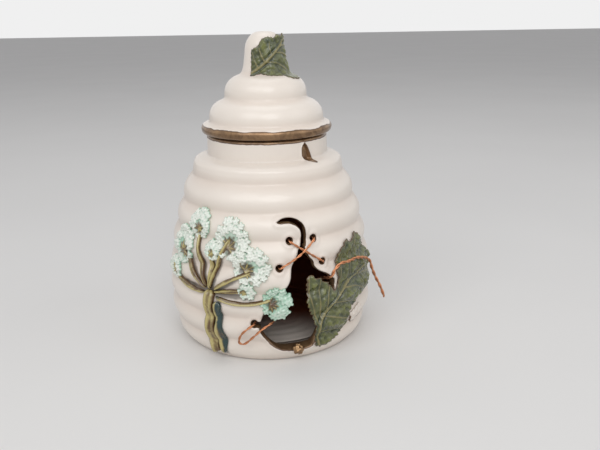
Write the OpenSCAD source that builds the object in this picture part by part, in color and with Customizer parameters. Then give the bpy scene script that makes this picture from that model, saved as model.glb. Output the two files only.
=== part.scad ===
// Ribbed ceramic honey pot with a lift-off domed lid, applied clay leaves and
// flower, a torn doorway and formed copper wires. Millimetres, +Z up, origin
// at the centre of the base, front towards -Y. Azimuths are degrees from the
// front, positive towards +X. A place on the wall is written [azimuth, height].

/* [Pot] */
// Radius of the belly at its widest
belly_r = 48.5; // [46:0.5:51]
// Height of the widest belly
belly_z = 22; // [18:1:26]
// Half height of the ellipse above the widest belly
dome_h = 88; // [85:1:94]
// Half height of the ellipse below the widest belly
foot_h = 45; // [40:1:52]
// Thickness of the pot's wall
pot_wall = 4; // [3:0.5:5]
// Thickness of the floor
floor_t = 5; // [3:0.5:5.5]
// Inside corner between floor and wall
floor_corner = 6; // [3:1:9]
// Height where the shoulder meets the neck
neck_foot_z = 87; // [86:0.5:89]
// Height of the rounded shoulder below the neck
shoulder_h = 3.6; // [3:0.2:4.4]
// Outer radius of the neck
neck_r = 27.9; // [27:0.1:29]
// Height of the neck
neck_h = 9.5; // [8:0.5:12]
// Thickness of the neck's wall
neck_wall = 3.2; // [2.6:0.2:3.6]

/* [Ribs] */
// Distance from one rib to the next
rib_pitch = 11.3; // [10:0.1:12.5]
// Height of the lowest rib's crest
rib_first = 5.6; // [4.5:0.1:6.5]
// Depth of the grooves between the ribs
rib_depth = 1.5; // [0.8:0.1:2]

/* [Lid] */
// How far the rolled rim stands out past the neck
rim_over = 2.3; // [1.6:0.1:3]
// Radius of the rolled rim's round edge
rim_round = 2.3; // [1.8:0.1:2.8]
// How far the lower tier steps in from the rim
tier1_step = 3.8; // [3:0.2:5]
// Height of the lower tier
tier1_h = 10.2; // [9:0.2:12]
// How far the upper tier steps in from the lower one
tier2_step = 7.5; // [6:0.5:8.5]
// Height of the upper tier
tier2_h = 11.2; // [10:0.2:13]
// Radius of the knob at its foot
knob_r = 10.4; // [9.5:0.1:11]
// Radius of the knob below its domed top
knob_top_r = 9; // [8.2:0.1:9.4]
// Height of the knob
knob_h = 18.6; // [16:0.2:21]
// Length of the flange that drops into the neck
flange_h = 6; // [4:0.5:8]
// Thickness of the flange
flange_wall = 2.5; // [2:0.1:3]
// Height of the hollow inside the lid above its seat
hollow_h = 19; // [16:0.5:20]

/* [Clearances] */
// Gap between the lid and the neck's top
seat_gap = 0.3; // [0.2:0.05:0.5]
// Gap round the flange inside the neck
flange_gap = 0.6; // [0.4:0.1:1]
// Glaze line between an applied piece and what carries it
glaze_gap = 0.05; // [0.04:0.01:0.1]
// Gap between neighbouring applied pieces
piece_gap = 0.15; // [0.1:0.05:0.3]

/* [Leaves] */
// Thickness of the broad leaf
leaf_t = 1.8; // [1.4:0.1:2.4]
// Azimuth of the broad leaf's middle
leaf_az = 44; // [43:0.5:45]
// Thickness of the leaf round the knob
knob_leaf_t = 1.7; // [1.2:0.1:2.2]

/* [Flower] */
// Azimuth of the stem
stem_az = -34.2; // [-35:0.2:-33.6]
// Height where the rays leave the stem
node_z = 32.9; // [32:0.2:33.8]
// Radius of the boss that the rays spring from
node_r = 4.2; // [3.8:0.1:4.4]
// How far the stem stands out from the wall
stem_t = 2.8; // [2.2:0.1:3.2]
// How far the rays stand out from the wall
ray_t = 2; // [1.6:0.1:2.4]
// Width of a ray at the boss
ray_w0 = 0.9; // [0.8:0.1:1]
// Width of a ray at its flower head
ray_w1 = 1.8; // [1.4:0.1:2]
// How far the flower heads stand out from the wall
head_t = 2.6; // [2:0.1:3.2]
// Radius of the round lobes at a flower head's edge
lobe_r = 1.5; // [1.2:0.1:1.7]

/* [Doorway] */
// Azimuth of the doorway's middle
door_az = 14; // [13:0.5:15]
// Radius of the bead on the doorway's sill
bead_r = 2.6; // [2:0.1:3]
// Depth of the torn slit in the neck
slit_depth = 1.6; // [1:0.1:2]

/* [Wires] */
// Radius of the stitching wire
wire_r = 0.55; // [0.4:0.05:0.6]
// Radius of the twisted hook wire
hook_r = 0.75; // [0.6:0.05:0.8]
// Radius of the stitch holes
hole_r = 1.25; // [1.1:0.05:1.4]
// How far a wire's end reaches in behind the wall's outer face
wire_in = 6.5; // [6:0.5:8]

/* [Hidden] */
rib_steps = 10;
arc_steps = 10;
tube_sides = 8;
curve_steps = 4;
far = 75;
near = 20;

// Applied flower pieces: each ray is [azimuth, height, bow] of its far end
rays = [
    [-62.5, 35.2, 1.2], [-56.2, 50.6, 0.6], [-44.6, 58.2, 0.6], [-32.9, 49.8, -0.4],
    [-23.0, 57.0, 0.8], [-11.0, 43.6, 1.2], [-14.5, 35.4, 0.3], [0.0, 32.2, -2.6]
];
// Each head is [azimuth, height, half width, half height, lobes, its ray's place in rays]
heads = [
    [-64.5, 39.0, 3.6, 4.2, 7, 0], [-57.0, 51.0, 6.4, 7.6, 11, 1],
    [-43.9, 62.2, 4.8, 5.2, 9, 2], [-32.4, 52.0, 2.4, 2.8, 6, 3],
    [-21.6, 57.5, 7.0, 8.2, 12, 4], [-10.0, 46.4, 7.2, 7.2, 12, 5],
    [-13.0, 35.4, 2.2, 2.2, 6, 6], [2.6, 30.0, 5.2, 6.2, 10, 7]
];
ray_names = [for (i = [1:8]) str("flower_ray_", i)];
head_names = [for (i = [1:8]) str("flower_head_", i)];

neck_top = neck_foot_z + neck_h;
shoulder_z = neck_foot_z - shoulder_h;
throat_r = neck_r - neck_wall;
throat_z = shoulder_z - pot_wall;
wall_dip = rib_depth / 2;
seat_z = neck_top + seat_gap;
rim_r = neck_r + rim_over;
flange_r = throat_r - flange_gap;
hollow_r = flange_r - flange_wall;
tier1_r = rim_r - tier1_step;
tier1_z = seat_z + 2 * rim_round;
tier2_r = tier1_r - tier2_step;
tier2_z = tier1_z + tier1_h;
knob_z = tier2_z + tier2_h;
knob_top = knob_z + knob_h;

function frac(x) = x - floor(x);
function belly(z) =
    belly_r * sqrt(max(0, 1 - pow((z - belly_z) / (z > belly_z ? dome_h : foot_h), 2)));
function rib_u(z) = 2 * frac((z - rib_first) / rib_pitch + 0.5) - 1;
function ribbed(z) = belly(z) - rib_depth * (1 - pow(1 - pow(rib_u(z), 2), 1.5));
// A quarter ellipse from radius a at height z0 in to radius b at z0 + h
function turn_in(z, a, b, z0, h) = b + (a - b) * sqrt(max(0, 1 - pow((z - z0) / h, 2)));
function pot_r(z) =
    z <= shoulder_z ? ribbed(z)
    : z <= neck_foot_z ? turn_in(z, ribbed(shoulder_z), neck_r, shoulder_z, shoulder_h)
    : neck_r;
function lining(z) = belly(z) - pot_wall - wall_dip;
function inner_r(z) =
    z < floor_t + floor_corner
    ? lining(z) - floor_corner * (1 - sqrt(1 - pow(1 - (z - floor_t) / floor_corner, 2)))
    : z < throat_z ? lining(z)
    : turn_in(z, lining(throat_z), throat_r, throat_z, shoulder_h);
function steps(a, b, n) = [for (i = [0:n]) a + (b - a) * i / n];
function arc(cx, cy, rx, ry, a0, a1) =
    [for (a = steps(a0, a1, arc_steps)) [cx + rx * cos(a), cy + ry * sin(a)]];

wall_z = concat(
    steps(0, shoulder_z, ceil(shoulder_z / rib_pitch * rib_steps)),
    [for (a = steps(9, 90, 9)) shoulder_z + shoulder_h * sin(a)]
);
lining_z = concat(
    [for (a = steps(0, 90, 6)) floor_t + floor_corner * (1 - cos(a))],
    steps(floor_t + floor_corner + 4, throat_z, 16),
    [for (a = steps(10, 90, 8)) throat_z + shoulder_h * sin(a)]
);

// A place on the wall as a point in space, with a lift out from the belly
function on_belly(p) =
    let (r = belly(p[1]) + p[2]) [r * sin(p[0]), -r * cos(p[0]), p[1]];
// A place on the wall as a point of a flat drawing that faces azimuth a
function flat(a, p) = [pot_r(p[1]) * sin(p[0] - a), p[1]];
function unit(v) = v / norm(v);
function flip(points) = [for (i = [len(points) - 1:-1:0]) points[i]];

// Stands a flat drawing up through the wall at azimuth a
module through_wall(a, from = near, to = far) {
    rotate([0, 0, a])
        translate([0, -from, 0])
            rotate([90, 0, 0])
                linear_extrude(to - from)
                    children();
}

// A skin of the pot's own outer shape, from t0 to t1 out from its face
module skin(t0, t1) {
    rotate_extrude($fn = 96)
        polygon(concat(
            [for (z = wall_z) [pot_r(z) + t1, z]],
            flip([for (z = wall_z) [pot_r(z) + t0, z]])
        ));
}

// A round bar along points, closed at both ends
module bar(points, r) {
    last = len(points) - 1;
    along = [for (i = [0:last]) unit(points[min(i + 1, last)] - points[max(i - 1, 0)])];
    side = [
        for (i = 0, n = unit(cross(along[0], [0.3, 0.2, 1])); i <= last;
            i = i + 1, n = i <= last ? unit(n - (n * along[i]) * along[i]) : n) n
    ];
    rings = [
        for (i = [0:last], k = [0:tube_sides - 1])
            let (a = 360 * k / tube_sides, b = cross(along[i], side[i]))
                points[i] + r * (cos(a) * side[i] + sin(a) * b)
    ];
    n = tube_sides;
    polyhedron(rings, concat(
        [for (i = [0:last - 1], k = [0:n - 1]) [i * n + k, (i + 1) * n + k, i * n + (k + 1) % n]],
        [
            for (i = [0:last - 1], k = [0:n - 1])
                [(i + 1) * n + k, (i + 1) * n + (k + 1) % n, i * n + (k + 1) % n]
        ],
        [for (k = [1:n - 2]) [0, k, k + 1]],
        [for (k = [1:n - 2]) [last * n, last * n + k + 1, last * n + k]]
    ));
}

// A smooth curve through a wire's own points
function smooth(p) = [
    for (i = [0:len(p) - 2], k = [0:curve_steps - (i == len(p) - 2 ? 0 : 1)])
        let (
            a = p[max(i - 1, 0)], b = p[i], c = p[i + 1], d = p[min(i + 2, len(p) - 1)],
            t = k / curve_steps
        )
            (2 * b + (c - a) * t + (2 * a - 5 * b + 4 * c - d) * t * t
                + (3 * b - a - 3 * c + d) * t * t * t) / 2
];
module wire(places, r) {
    bar(smooth([for (p = places) on_belly(p)]), r);
}

// Pot

door = [
    [15.3, 50.6], [15.6, 53.4], [18.8, 53.4], [19.8, 49.2], [23.6, 47.0], [23.3, 44.9],
    [24.7, 43.2], [26.8, 41.7], [32.7, 39.4], [38.7, 34.1], [31.9, 28.1], [27.1, 19.4],
    [23.8, 8.6], [20.5, 6.6], [13.8, 6.4], [6.6, 7.2], [3.3, 8.2], [-1.1, 10.8],
    [-5.5, 15.4], [-6.6, 19.0], [-5.9, 21.9], [-2.0, 28.5], [3.3, 31.6], [7.1, 35.8],
    [10.2, 38.1], [11.0, 43.0], [13.0, 48.6]
];
crack = [
    [17.9, 55.8], [18.0, 59.9], [16.6, 62.0], [13.5, 63.5], [9.5, 64.1], [2.9, 63.6],
    [5.0, 65.1], [8.1, 65.9], [11.1, 66.1], [14.6, 65.6], [17.9, 64.4], [19.9, 62.6],
    [20.8, 60.5], [21.1, 55.5], [19.0, 52.8], [15.6, 52.8]
];
slit = [[33.5, 94.6], [37.5, 94.2], [40.5, 91.2], [42.5, 88.6], [44.5, 86.0], [38.0, 87.0],
    [33.5, 88.0], [31.8, 90.6]];
slit_az = 38;
stitch_holes = [[10.9, 56.5], [25.3, 56.4], [4.6, 45.3], [29.4, 46.0]];
loop_hole = [-9.4, 20.6];

module pot_body() {
    color("#efe5d8")
        difference() {
            rotate_extrude($fn = 96)
                polygon(concat(
                    [[0, 0]],
                    [for (z = wall_z) [pot_r(z), z]],
                    arc(neck_r - neck_wall / 2, neck_top - neck_wall / 2,
                        neck_wall / 2, neck_wall / 2, 0, 180),
                    flip([for (z = lining_z) [inner_r(z), z]]),
                    [[0, floor_t]]
                ));
            through_wall(door_az)
                union() {
                    polygon([for (p = door) flat(door_az, p)]);
                    polygon([for (p = crack) flat(door_az, p)]);
                }
            through_wall(slit_az, neck_r - slit_depth, neck_r + shoulder_h)
                polygon([for (p = slit) flat(slit_az, p)]);
            for (p = stitch_holes)
                through_wall(p[0])
                    translate([0, p[1]])
                        circle(hole_r, $fn = 24);
            through_wall(loop_hole[0])
                translate([0, loop_hole[1]])
                    circle(hole_r, $fn = 24);
        }
}

module sill_bead() {
    sill = door[14];
    color("#8a6a52")
        intersection() {
            rotate([0, 0, sill[0]])
                translate([0, -pot_r(sill[1]) - bead_r / 3, sill[1] + bead_r / 5])
                    rotate([90, 0, 0])
                        rotate_extrude($fn = 48)
                            polygon(arc(0, 0, bead_r, bead_r, -90, 90));
            skin(glaze_gap, 2 * bead_r);
        }
}

// Lid

// Radius of the flat at the knob's very top, and how much taller than round its dome is
crown_r = 3.5;
crown_rise = 1.1;
// Share of a tier's height that its rounded shoulder takes
tier_round = 0.75;

module lid() {
    knob_bend = knob_top - (knob_top_r - crown_r) * crown_rise;
    color("#f2e9dd")
        rotate_extrude($fn = 96)
            polygon(concat(
                [[hollow_r, seat_z - flange_h], [flange_r, seat_z - flange_h], [flange_r, seat_z]],
                arc(rim_r - rim_round, seat_z + rim_round, rim_round, rim_round, -90, 70),
                arc(tier2_r, tier1_z + tier1_h * (1 - tier_round),
                    tier1_r - tier2_r, tier1_h * tier_round, -19, 84),
                arc(knob_r, tier2_z + tier2_h * (1 - tier_round),
                    tier2_r - knob_r, tier2_h * tier_round, -19, 84),
                [[knob_r, knob_z]],
                arc(crown_r, knob_bend, knob_top_r - crown_r, knob_top - knob_bend, 0, 90),
                [[0, knob_top]],
                flip(arc(0, seat_z + rim_round * 2, hollow_r, hollow_h - rim_round * 2, 0, 90))
            ));
}

// The leaf's edge as [azimuth, share of the knob's height]
knob_leaf_edge = [
    [-30, 0.03], [-34, 0.3], [-37, 0.58], [-20, 0.64], [4, 0.78], [18, 0.8], [33, 0.87],
    [50, 0.85], [68, 0.96], [84, 0.9], [80, 0.6], [84, 0.3], [86, 0.1], [60, 0.03], [20, 0.05]
];
knob_leaf_az = 18;
// Height up the knob, as a share of it, where the side meets the dome
knob_side = 0.67;
module knob_leaf() {
    slope = (knob_r - knob_top_r) / (knob_side * knob_h);
    color("#8fa783")
        intersection() {
            rotate_extrude($fn = 96)
                polygon([
                    [knob_r + glaze_gap, knob_z + glaze_gap],
                    [knob_r + knob_leaf_t, knob_z + glaze_gap],
                    [knob_r + knob_leaf_t - slope * knob_h, knob_top],
                    [knob_top_r + glaze_gap, knob_top]
                ]);
            through_wall(knob_leaf_az, 0, near)
                polygon([
                    for (p = knob_leaf_edge)
                        [(knob_r + knob_leaf_t) * sin(p[0] - knob_leaf_az), knob_z + p[1] * knob_h]
                ]);
        }
}

// Broad leaf

leaf_edge = [
    [27.4, 5.0], [22.6, 6.6], [23.4, 9.2], [22.6, 15.6], [21.4, 21.2], [19.0, 25.0],
    [17.4, 29.4], [18.4, 32.6], [17.6, 37.0], [18.6, 42.4], [20.8, 41.4], [22.4, 42.0],
    [24.2, 39.6], [26.6, 40.2], [28.6, 37.4], [31.2, 37.6], [33.6, 34.6], [36.2, 32.2],
    [38.0, 35.6], [36.4, 40.0], [37.0, 44.2], [38.8, 47.4], [41.6, 49.4], [44.4, 51.8],
    [48.4, 53.8], [50.4, 51.2], [53.2, 52.4], [57.0, 55.0], [60.4, 53.6], [63.0, 49.4],
    [67.4, 46.0], [71.6, 43.8], [75.0, 40.0], [73.6, 35.6], [75.6, 31.4], [69.6, 28.4],
    [65.4, 24.8], [58.6, 23.6], [53.4, 21.4], [48.2, 20.0], [45.4, 18.0], [45.8, 14.8],
    [43.8, 11.2], [39.6, 8.6], [34.6, 6.8]
];
module broad_leaf() {
    color("#6f8a5e")
        intersection() {
            skin(glaze_gap, glaze_gap + leaf_t);
            through_wall(leaf_az)
                polygon([for (p = leaf_edge) flat(leaf_az, p)]);
        }
}

// A torn bit of clay that lies against the wall beside the broad leaf
leaf_chip_edge = [[47.6, 17.6], [51.6, 18.8], [56.8, 20.0], [59.6, 16.6], [55.2, 13.6],
    [50.4, 12.2], [48.6, 13.6]];
module leaf_chip() {
    color("#d8c9b6")
        intersection() {
            skin(glaze_gap, glaze_gap + leaf_t / 2);
            through_wall(leaf_az + 9)
                polygon([for (p = leaf_chip_edge) flat(leaf_az + 9, p)]);
        }
}

// Flower

// Left edge, shared middle edge and right edge of the stem and the piece beside it,
// as [degrees past the stem's azimuth, height]
stem_left = [[-2.6, 30], [-2.8, 22], [-3.4, 13], [-1.8, 4]];
stem_mid = [[3.0, 2.4], [2.2, 8], [2.9, 16], [2.4, 23], [2.6, 30.6]];
stem_right = [[7.4, 2.6], [9.4, 9.4], [6.6, 12.6], [7.8, 17.4], [8.2, 21.6], [6.6, 25.4],
    [7.6, 28.4]];
function beside_stem(p, shift = 0) = flat(stem_az, [stem_az + p[0] + shift, p[1]]);

module flower_stem() {
    color("#a99a5c")
        intersection() {
            skin(glaze_gap, glaze_gap + stem_t);
            through_wall(stem_az)
                union() {
                    polygon([for (p = concat(stem_left, stem_mid)) beside_stem(p)]);
                    translate([0, node_z])
                        circle(node_r, $fn = 32);
                }
        }
}

module stem_side() {
    gap_az = piece_gap / belly_r * 180 / PI;
    color("#27474c")
        intersection() {
            skin(glaze_gap, glaze_gap + ray_t);
            through_wall(stem_az)
                difference() {
                    polygon(concat(
                        [for (p = flip(stem_mid)) beside_stem(p, gap_az)],
                        [for (p = stem_right) beside_stem(p)]
                    ));
                    translate([0, node_z])
                        circle(node_r + piece_gap, $fn = 32);
                }
        }
}

// A ray's own azimuth, and its outline from the boss out to its head
function ray_az(i) = (stem_az + rays[i][0]) / 2;
function ray_point(i, t) =
    let (
        a = ray_az(i), p = flat(a, [stem_az, node_z]), q = flat(a, rays[i]),
        d = unit(q - p), bow = rays[i][2] * 4 * t * (1 - t)
    )
        p + d * (node_r + piece_gap) + (q - p - d * (node_r + piece_gap)) * t
            + bow * [-d[1], d[0]];
function ray_side(i, t, sign) =
    let (
        d = unit(ray_point(i, t + 0.01) - ray_point(i, t - 0.01)),
        w = ray_w0 + (ray_w1 - ray_w0) * min(1, 3 * t)
    )
        ray_point(i, t) + sign * w / 2 * [-d[1], d[0]];
module ray_outline(i, grow = 0) {
    polygon(concat(
        [for (t = steps(0, 1, 6)) ray_side(i, t, 1 + 2 * grow / ray_w1)],
        [for (t = steps(1, 0, 6)) ray_side(i, t, -1 - 2 * grow / ray_w1)]
    ));
}

module flower_ray(i) {
    color("#b3a45f")
        intersection() {
            skin(glaze_gap, glaze_gap + ray_t);
            through_wall(ray_az(i))
                ray_outline(i);
        }
}

module head_outline(i, grow = 0) {
    h = heads[i];
    edge = [for (k = [1:h[4]]) [h[2] * cos(360 * k / h[4]), h[1] + h[3] * sin(360 * k / h[4])]];
    union() {
        polygon(edge);
        for (p = edge)
            translate(p)
                circle(lobe_r + grow, $fn = 24);
    }
}

// Heads that lie over the edge of this one, and rays that run past it
function covering(i) = i == 3 || i == 5 ? [4] : i == 6 ? [5] : [];
function passing(i) = i == 3 ? [heads[i][5], heads[i + 1][5]] : [heads[i][5]];

module flower_head(i) {
    color(i == 7 ? "#86c9ae" : "#eaf2e6")
        difference() {
            intersection() {
                skin(glaze_gap, glaze_gap + head_t);
                through_wall(heads[i][0])
                    head_outline(i);
            }
            for (k = passing(i))
                through_wall(ray_az(k))
                    ray_outline(k, piece_gap);
            for (k = covering(i))
                through_wall(heads[k][0])
                    head_outline(k, piece_gap);
        }
}

// Wires, as [azimuth, height, lift out from the belly]

on_face = wire_r + 2 * glaze_gap;
// Share of a stitch from a hole to where the wire is out on the wall's face
stitch_turn = 0.12;
// Share of the stitches from their left holes to where they cross
cross_under = 0.38;
cross_over = 0.65;
function between(a, b, t, lift) = [a[0] + (b[0] - a[0]) * t, a[1] + (b[1] - a[1]) * t, lift];
function stitch(a, b, cross, lift) = [
    [a[0], a[1], -wire_in], [a[0], a[1], -wire_r], between(a, b, stitch_turn, on_face),
    between(a, b, cross, lift), between(b, a, stitch_turn, on_face),
    [b[0], b[1], -wire_r], [b[0], b[1], -wire_in]
];
loop_route = [
    [2.5, 20.5, -wire_in], [-0.5, 20.9, -1], [-5.4, 18.6, on_face], [-10.0, 15.2, 2],
    [-14.4, 11.8, 2.2], [-17.2, 12.4, 2.2], [-15.8, 16.2, 2], [-12.4, 19.0, 1],
    [loop_hole[0], loop_hole[1], -0.6], [loop_hole[0], loop_hole[1], -wire_in]
];
over_leaf = leaf_t + hook_r + 0.4;
hook_route = [
    [33.0, 35.6, -wire_in - 2], [31.6, 37.6, -3.2], [31.4, 39.6, over_leaf - 0.6],
    [33.4, 42.4, over_leaf], [37.6, 44.4, over_leaf], [43.2, 44.2, over_leaf],
    [50.0, 44.2, over_leaf], [56.0, 42.8, over_leaf], [61.0, 41.0, over_leaf],
    [64.4, 38.6, over_leaf + 0.3], [65.2, 35.4, over_leaf + 0.7], [65.8, 31.2, over_leaf + 1.9],
    [66.6, 26.4, over_leaf + 3.9], [67.4, 20.8, over_leaf + 5.8]
];

module stitch_wire_1() {
    color("#c98f6a")
        wire(stitch(stitch_holes[0], stitch_holes[3], cross_under, on_face), wire_r);
}

module stitch_wire_2() {
    color("#c98f6a")
        wire(
            stitch(stitch_holes[2], stitch_holes[1], cross_over, on_face + 2 * wire_r + piece_gap),
            wire_r
        );
}

module loop_wire() {
    color("#c98f6a")
        wire(loop_route, wire_r);
}

module hook_wire() {
    color("#b87a55")
        wire(hook_route, hook_r);
}

pot_body();
lid();
knob_leaf();
broad_leaf();
leaf_chip();
flower_stem();
stem_side();
for (i = [0:7])
    flower_ray(i);
for (i = [0:7])
    flower_head(i);
sill_bead();
stitch_wire_1();
stitch_wire_2();
loop_wire();
hook_wire();
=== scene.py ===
"""Beehive honey pot with a lift-off lid, applied leaves and flower, and copper wires.

Sizes here are in millimetres until a mesh is made. A place on the wall is
(s, z): s is the length round the wall from the front, and z the height.
"""

import math

import bpy
import numpy as np
from mathutils import Matrix, Vector


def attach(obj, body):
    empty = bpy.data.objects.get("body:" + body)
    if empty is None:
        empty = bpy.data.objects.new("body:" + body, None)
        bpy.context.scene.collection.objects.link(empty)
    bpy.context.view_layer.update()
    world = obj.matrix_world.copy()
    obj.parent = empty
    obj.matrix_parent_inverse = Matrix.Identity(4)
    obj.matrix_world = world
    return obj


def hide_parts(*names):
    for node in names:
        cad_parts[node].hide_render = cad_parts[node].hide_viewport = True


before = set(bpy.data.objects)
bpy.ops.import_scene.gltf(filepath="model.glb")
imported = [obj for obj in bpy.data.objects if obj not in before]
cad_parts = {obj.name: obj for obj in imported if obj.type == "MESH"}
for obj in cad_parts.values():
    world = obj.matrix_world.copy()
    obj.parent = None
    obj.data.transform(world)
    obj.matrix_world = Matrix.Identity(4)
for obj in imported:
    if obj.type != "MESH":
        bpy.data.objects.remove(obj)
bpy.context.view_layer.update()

bl_info = {
    "name": "Beehive honey pot",
    "version": (1, 0, 0),
    "blender": (4, 5, 0),
    "location": "View3D > Sidebar > Honey Pot",
    "description": "Builds a ribbed ceramic honey pot with applied leaves, flower and wires",
    "category": "Add Mesh",
}

MM = 0.001
SEED = 7


def srgb(red, green, blue):
    """A colour written as 0 to 255, in the numbers that shaders take."""
    parts = [c / 255 for c in (red, green, blue)]
    return tuple(c / 12.92 if c <= 0.04045 else ((c + 0.055) / 1.055) ** 2.4 for c in parts)


# Settings


def length(name, default, about):
    return bpy.props.FloatProperty(
        name=name, description=about, default=default * MM, min=0, unit="LENGTH", precision=5
    )


def colour(name, default, about):
    return bpy.props.FloatVectorProperty(
        name=name, description=about, default=srgb(*default), size=3, min=0, max=1,
        subtype="COLOR",
    )


class PotSizes(bpy.types.PropertyGroup):
    belly: length("Belly radius", 48.5, "Radius of the pot's belly at its widest")
    belly_height: length("Belly height", 22, "Height of the widest belly")
    dome: length("Dome", 88, "Half height of the ellipse above the widest belly")
    foot: length("Foot", 45, "Half height of the ellipse below the widest belly")
    wall: length("Wall", 4, "Thickness of the pot's wall")
    floor: length("Floor", 5, "Thickness of the floor")
    corner: length("Inside corner", 6, "Inside corner between floor and wall")
    neck_foot: length("Neck foot", 87, "Height where the shoulder meets the neck")
    shoulder: length("Shoulder", 3.6, "Height of the rounded shoulder")
    neck: length("Neck radius", 27.9, "Outer radius of the neck")
    neck_height: length("Neck height", 9.5, "Height of the neck")
    neck_wall: length("Neck wall", 3.2, "Thickness of the neck's wall")
    rib_pitch: length("Rib pitch", 11.3, "Distance from one rib to the next")
    rib_first: length("First rib", 5.6, "Height of the lowest rib's crest")
    rib_depth: length("Rib depth", 1.5, "Depth of the grooves between the ribs")
    lip: length("Torn lip", 0.9, "Roundness of the lip round the doorway")


class LidSizes(bpy.types.PropertyGroup):
    seat_gap: length("Seat gap", 0.3, "Gap between the lid and the neck's top")
    rim_over: length("Rim overhang", 2.3, "How far the rim stands out past the neck")
    rim_round: length("Rim round", 2.3, "Radius of the rim's round edge")
    tier1_step: length("Lower step", 3.8, "How far the lower tier steps in")
    tier1: length("Lower tier", 10.2, "Height of the lower tier")
    tier2_step: length("Upper step", 7.5, "How far the upper tier steps in")
    tier2: length("Upper tier", 11.2, "Height of the upper tier")
    knob: length("Knob radius", 10.4, "Radius of the knob at its foot")
    knob_top: length("Knob top radius", 9, "Radius of the knob below its dome")
    knob_height: length("Knob height", 18.6, "Height of the knob")
    flange: length("Flange", 6, "Length of the flange inside the neck")
    flange_wall: length("Flange wall", 2.5, "Thickness of the flange")
    flange_gap: length("Flange gap", 0.6, "Gap round the flange inside the neck")
    hollow: length("Hollow", 19, "Height of the hollow above the seat")


class Colours(bpy.types.PropertyGroup):
    cream: colour("Cream glaze", (240, 232, 222), "The pot's main glaze")
    # A darker, pinker cream, used in random patches and in the grooves between the ribs.
    cream_darker: colour("Thin glaze", (218, 203, 190), "Where the glaze runs thin in a groove")
    bronze: colour("Bronze lustre", (176, 142, 104), "The lustre painted on rim and lips")
    bronze_dark: colour("Dark lustre", (74, 50, 34), "The lustre's dark edges")
    # Painted shade: the brown that darkens the inside of the pot towards its top and back, and the
    # lid's underside.
    inside: colour("Inside", (120, 62, 38), "The brown wash inside the pot's upper half")
    leaf: colour("Leaf green", (112, 116, 56), "The leaves' main green")
    leaf_dark: colour("Leaf shade", (36, 46, 18), "The leaves' hollows")
    vein: colour("Vein", (134, 122, 74), "The leaves' olive veins")
    edge: colour("Brown edge", (88, 60, 32), "Brown where the glaze breaks over an edge")
    stem: colour("Stem", (186, 172, 112), "The flower's stalks")
    teal: colour("Teal", (18, 52, 52), "Deep teal glaze pools")
    mint: colour("Mint", (158, 198, 174), "Mint glaze on the petals")
    petal: colour("Petal", (230, 234, 224), "White petals")
    copper: colour("Copper", (214, 148, 108), "The copper wire")


def in_mm(group):
    """The group's lengths as plain numbers in millimetres."""
    return {name: getattr(group, name) / MM for name in group.__annotations__}


def unit(x):
    """The value held between 0 and 1."""
    return np.clip(x, 0, 1)


# Shape of the pot


class Wall:
    """The pot's outer and inner faces as radius against height."""

    def __init__(self, sizes):
        self.__dict__.update(in_mm(sizes))
        self.shoulder_z = self.neck_foot - self.shoulder
        self.throat = self.neck - self.neck_wall
        self.throat_z = self.shoulder_z - self.wall
        self.top = self.neck_foot + self.neck_height

    def swell(self, z):
        half = np.where(z > self.belly_height, self.dome, self.foot)
        return self.belly * np.sqrt(unit(1 - ((z - self.belly_height) / half) ** 2))

    def dip(self, z):
        """0 on a rib's crest and 1 in the groove beside it."""
        u = 2 * (((z - self.rib_first) / self.rib_pitch + 0.5) % 1) - 1
        return 1 - (1 - u * u) ** 1.5

    def ribbed(self, z):
        return self.swell(z) - self.rib_depth * self.dip(z)

    def turn_in(self, z, start, end, z0):
        t = unit((z - z0) / self.shoulder)
        return end + (start - end) * np.sqrt(1 - t * t)

    def outer(self, z):
        z = np.asarray(z, float)
        shoulder = self.turn_in(z, self.ribbed(self.shoulder_z), self.neck, self.shoulder_z)
        return np.where(z <= self.shoulder_z, self.ribbed(z), shoulder)

    def lining(self, z):
        return self.swell(z) - self.wall - self.rib_depth / 2

    def inner(self, z):
        z = np.asarray(z, float)
        t = unit(1 - (z - self.floor) / self.corner)
        low = self.lining(z) - self.corner * (1 - np.sqrt(1 - t * t))
        rings = 0.35 * np.sin(z * 2 * math.pi / 7.4) * unit((z - 14) / 6)
        high = self.turn_in(z, self.lining(self.throat_z), self.throat, self.throat_z)
        return np.where(z < self.throat_z, low + rings * (z < 70), high)


S_RADIUS = 46.0  # places on the wall are measured along this radius


def arc_length(azimuth):
    return math.radians(azimuth) * S_RADIUS


def spot(azimuth, height):
    """One place on the wall as (s, z)."""
    return np.array([arc_length(azimuth), height])


def on_wall(points):
    """[azimuth, height] places as (s, z)."""
    return np.array([spot(*p) for p in points])


# Measures on flat outlines

FAR = 1e9


def hill(x, width):
    """1 where x is 0, falling away smoothly on both sides."""
    return np.exp(-((x / width) ** 2))


def to_segments(points, a, b):
    """How far each point is from its nearest segment."""
    best = np.full(len(points), FAR)
    for start, end in zip(a, b):
        step = end - start
        t = unit(((points - start) @ step) / max(step @ step, 1e-12))
        best = np.minimum(best, np.hypot(*(points - start - t[:, None] * step).T))
    return best


def to_lines(points, lines):
    """How far each point is from the nearest of several open lines."""
    return np.minimum.reduce([to_line(points, line) for line in lines])


def to_line(points, line):
    """How far each point is from an open line."""
    line = np.asarray(line, float)
    return to_segments(points, line[:-1], line[1:])


def to_loop(points, loop):
    """How far each point is from a closed line."""
    return to_segments(points, loop, np.roll(loop, -1, 0))


def within(points, outline):
    inside = np.zeros(len(points), bool)
    x, y = points.T
    for (ax, ay), (bx, by) in zip(outline, np.roll(outline, -1, 0)):
        crosses = (ay > y) != (by > y)
        if ay != by:
            inside ^= crosses & (x < (bx - ax) * (y - ay) / (by - ay) + ax)
    return inside


def depth_in(points, outline):
    """Positive inside the outline, negative outside."""
    gap = to_loop(points, outline)
    return np.where(within(points, outline), gap, -gap)


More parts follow.
